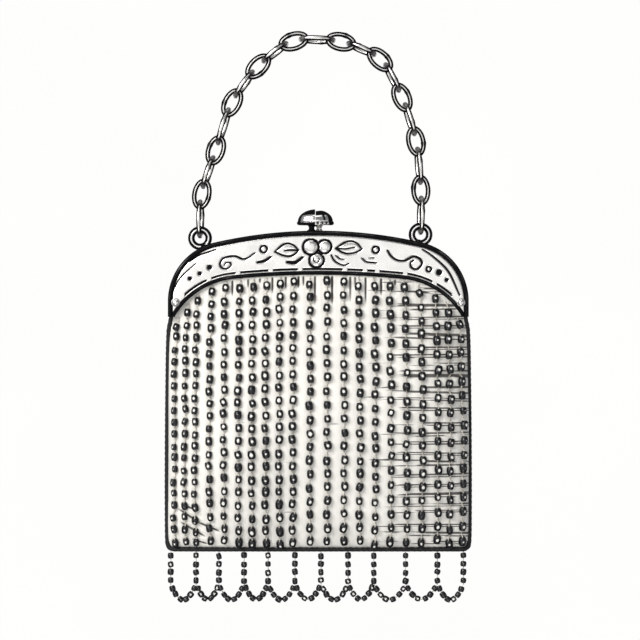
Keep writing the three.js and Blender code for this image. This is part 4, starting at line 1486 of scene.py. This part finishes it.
# Studio: a pale seamless bowl far round the hanging bag, soft lights before, above and behind it, and four
# cards that only the silver and glass mirror. The camera looks straight at the front, as the drawing does.
# From here on sizes are in metres.
FLOOR_Z = -1.6
BOWL_RADIUS = 2.6
BOWL_TOP_Z = 2.6
BOWL_FILLET = 1.0
BOWL_SIDES = 96
FILLET_STEPS = 16
PAPER_WHITES = ((0.965, 0.965, 0.955, 1), (0.995, 0.995, 0.985, 1))
PAPER_BASE = (0.02, 0.02, 0.02, 1)


def studio_bowl():
    """A bowl that glows evenly behind the bag and sends no light on to it."""
    material, shader, wire = new_material("pale_paper", {"Roughness": 0.95, "Emission Strength": 1.0})
    fibre = wire.object_place().noise(3.0).smooth(-0.5, 0.5)
    fibre.between(*PAPER_WHITES).into(shader, "Emission Color")
    shader.inputs["Base Color"].default_value = PAPER_BASE
    profile = [(0.01, FLOOR_Z), (BOWL_RADIUS - BOWL_FILLET, FLOOR_Z)]
    for angle in np.linspace(0, QUARTER, FILLET_STEPS)[1:]:
        radius = BOWL_RADIUS - BOWL_FILLET * (1 - math.sin(angle))
        profile.append((radius, FLOOR_Z + BOWL_FILLET * (1 - math.cos(angle))))
    profile.append((BOWL_RADIUS, BOWL_TOP_Z))
    rings = lathe(profile, BOWL_SIDES, np.zeros(3), Z_AXIS, X_AXIS)
    mesh = bpy.data.meshes.new("studio_bowl")
    faces = [*grid_faces(len(profile), BOWL_SIDES, False, True), list(range(BOWL_SIDES))[::-1]]
    mesh.from_pydata(rings.reshape(-1, 3).tolist(), [], faces)
    mesh.polygons.foreach_set("use_smooth", [True] * len(mesh.polygons))
    mesh.materials.append(material)
    bowl = bpy.data.objects.new("studio_bowl", mesh)
    bowl.visible_diffuse = False
    bowl.visible_glossy = False
    bowl.visible_shadow = False
    bpy.context.collection.objects.link(bowl)


BAG_MIDDLE = (0.0, 0.0, -0.15)


def soft_light(name, place, size, power, mirrored, lights_cloth):
    """A square softbox turned to the bag. It is not seen itself, and may be mirrored in silver and glass."""
    lamp = bpy.data.lights.new(name, "AREA")
    lamp.size = size
    lamp.energy = power
    light = bpy.data.objects.new(name, lamp)
    light.location = place
    way = np.subtract(BAG_MIDDLE, place)
    flat = math.hypot(way[0], way[1])
    light.rotation_euler = (math.atan2(flat, -way[2]), 0, math.atan2(way[1], way[0]) - QUARTER)
    light.visible_camera = False
    light.visible_glossy = mirrored
    light.visible_diffuse = lights_cloth
    bpy.context.collection.objects.link(light)


LIGHTS = [  # name, place, size, power, mirrored
    ("key_light", (-0.5, -0.72, 0.24), 0.55, 7.6, True),
    ("top_light", (0.1, -0.35, 0.8), 0.6, 2.0, True),
    ("floor_bounce", (-0.1, -0.8, -0.9), 0.8, 4.0, True),
    ("front_softbox", (0.0, -2.3, -0.1), 1.4, 5.8, True),
    ("front_fill", (0.0, -2.3, -0.1), 2.2, 4.8, False),
    ("back_softbox", (0.2, 2.3, 0.1), 1.4, 6.5, True),
    ("back_fill", (0.2, 2.3, 0.1), 2.2, 6.5, False),
    ("back_key", (0.5, 0.72, 0.24), 0.55, 9.5, False),
]
CARDS = [  # name, angle round the bag from its front
    ("card_front_right", 0.25 * math.pi),
    ("card_back_right", 0.75 * math.pi),
    ("card_back_left", 1.25 * math.pi),
    ("card_front_left", 1.75 * math.pi),
]
CARD_DISTANCE = 2.1
CARD_Z = -0.45
CARD_SIZE = 1.4
CARD_POWER = 4.6
studio_bowl()
for name, place, size, power, mirrored in LIGHTS:
    soft_light(name, place, size, power, mirrored, lights_cloth=True)
for name, turn in CARDS:
    place = (CARD_DISTANCE * math.sin(turn), -CARD_DISTANCE * math.cos(turn), CARD_Z)
    soft_light(name, place, CARD_SIZE, CARD_POWER, mirrored=True, lights_cloth=False)

AIR_COLOUR = (0.9, 0.93, 1.0, 1)
AIR_STRENGTH = 0.25
world = bpy.data.worlds.new("studio_air")
world.use_nodes = True
air = world.node_tree.nodes["Background"]
air.inputs["Color"].default_value = AIR_COLOUR
air.inputs["Strength"].default_value = AIR_STRENGTH
bpy.context.scene.world = world
bpy.context.scene.view_settings.view_transform = "Standard"

CAMERA_PLACE = (0.00077, -1.6, -0.1251)
lens = bpy.data.cameras.new("camera")
lens.lens = 200
lens.sensor_width = 36
lens.clip_end = 20
camera = bpy.data.objects.new("camera", lens)
camera.location = CAMERA_PLACE
camera.rotation_euler = (QUARTER, 0, 0)
bpy.context.collection.objects.link(camera)
bpy.context.scene.camera = camera
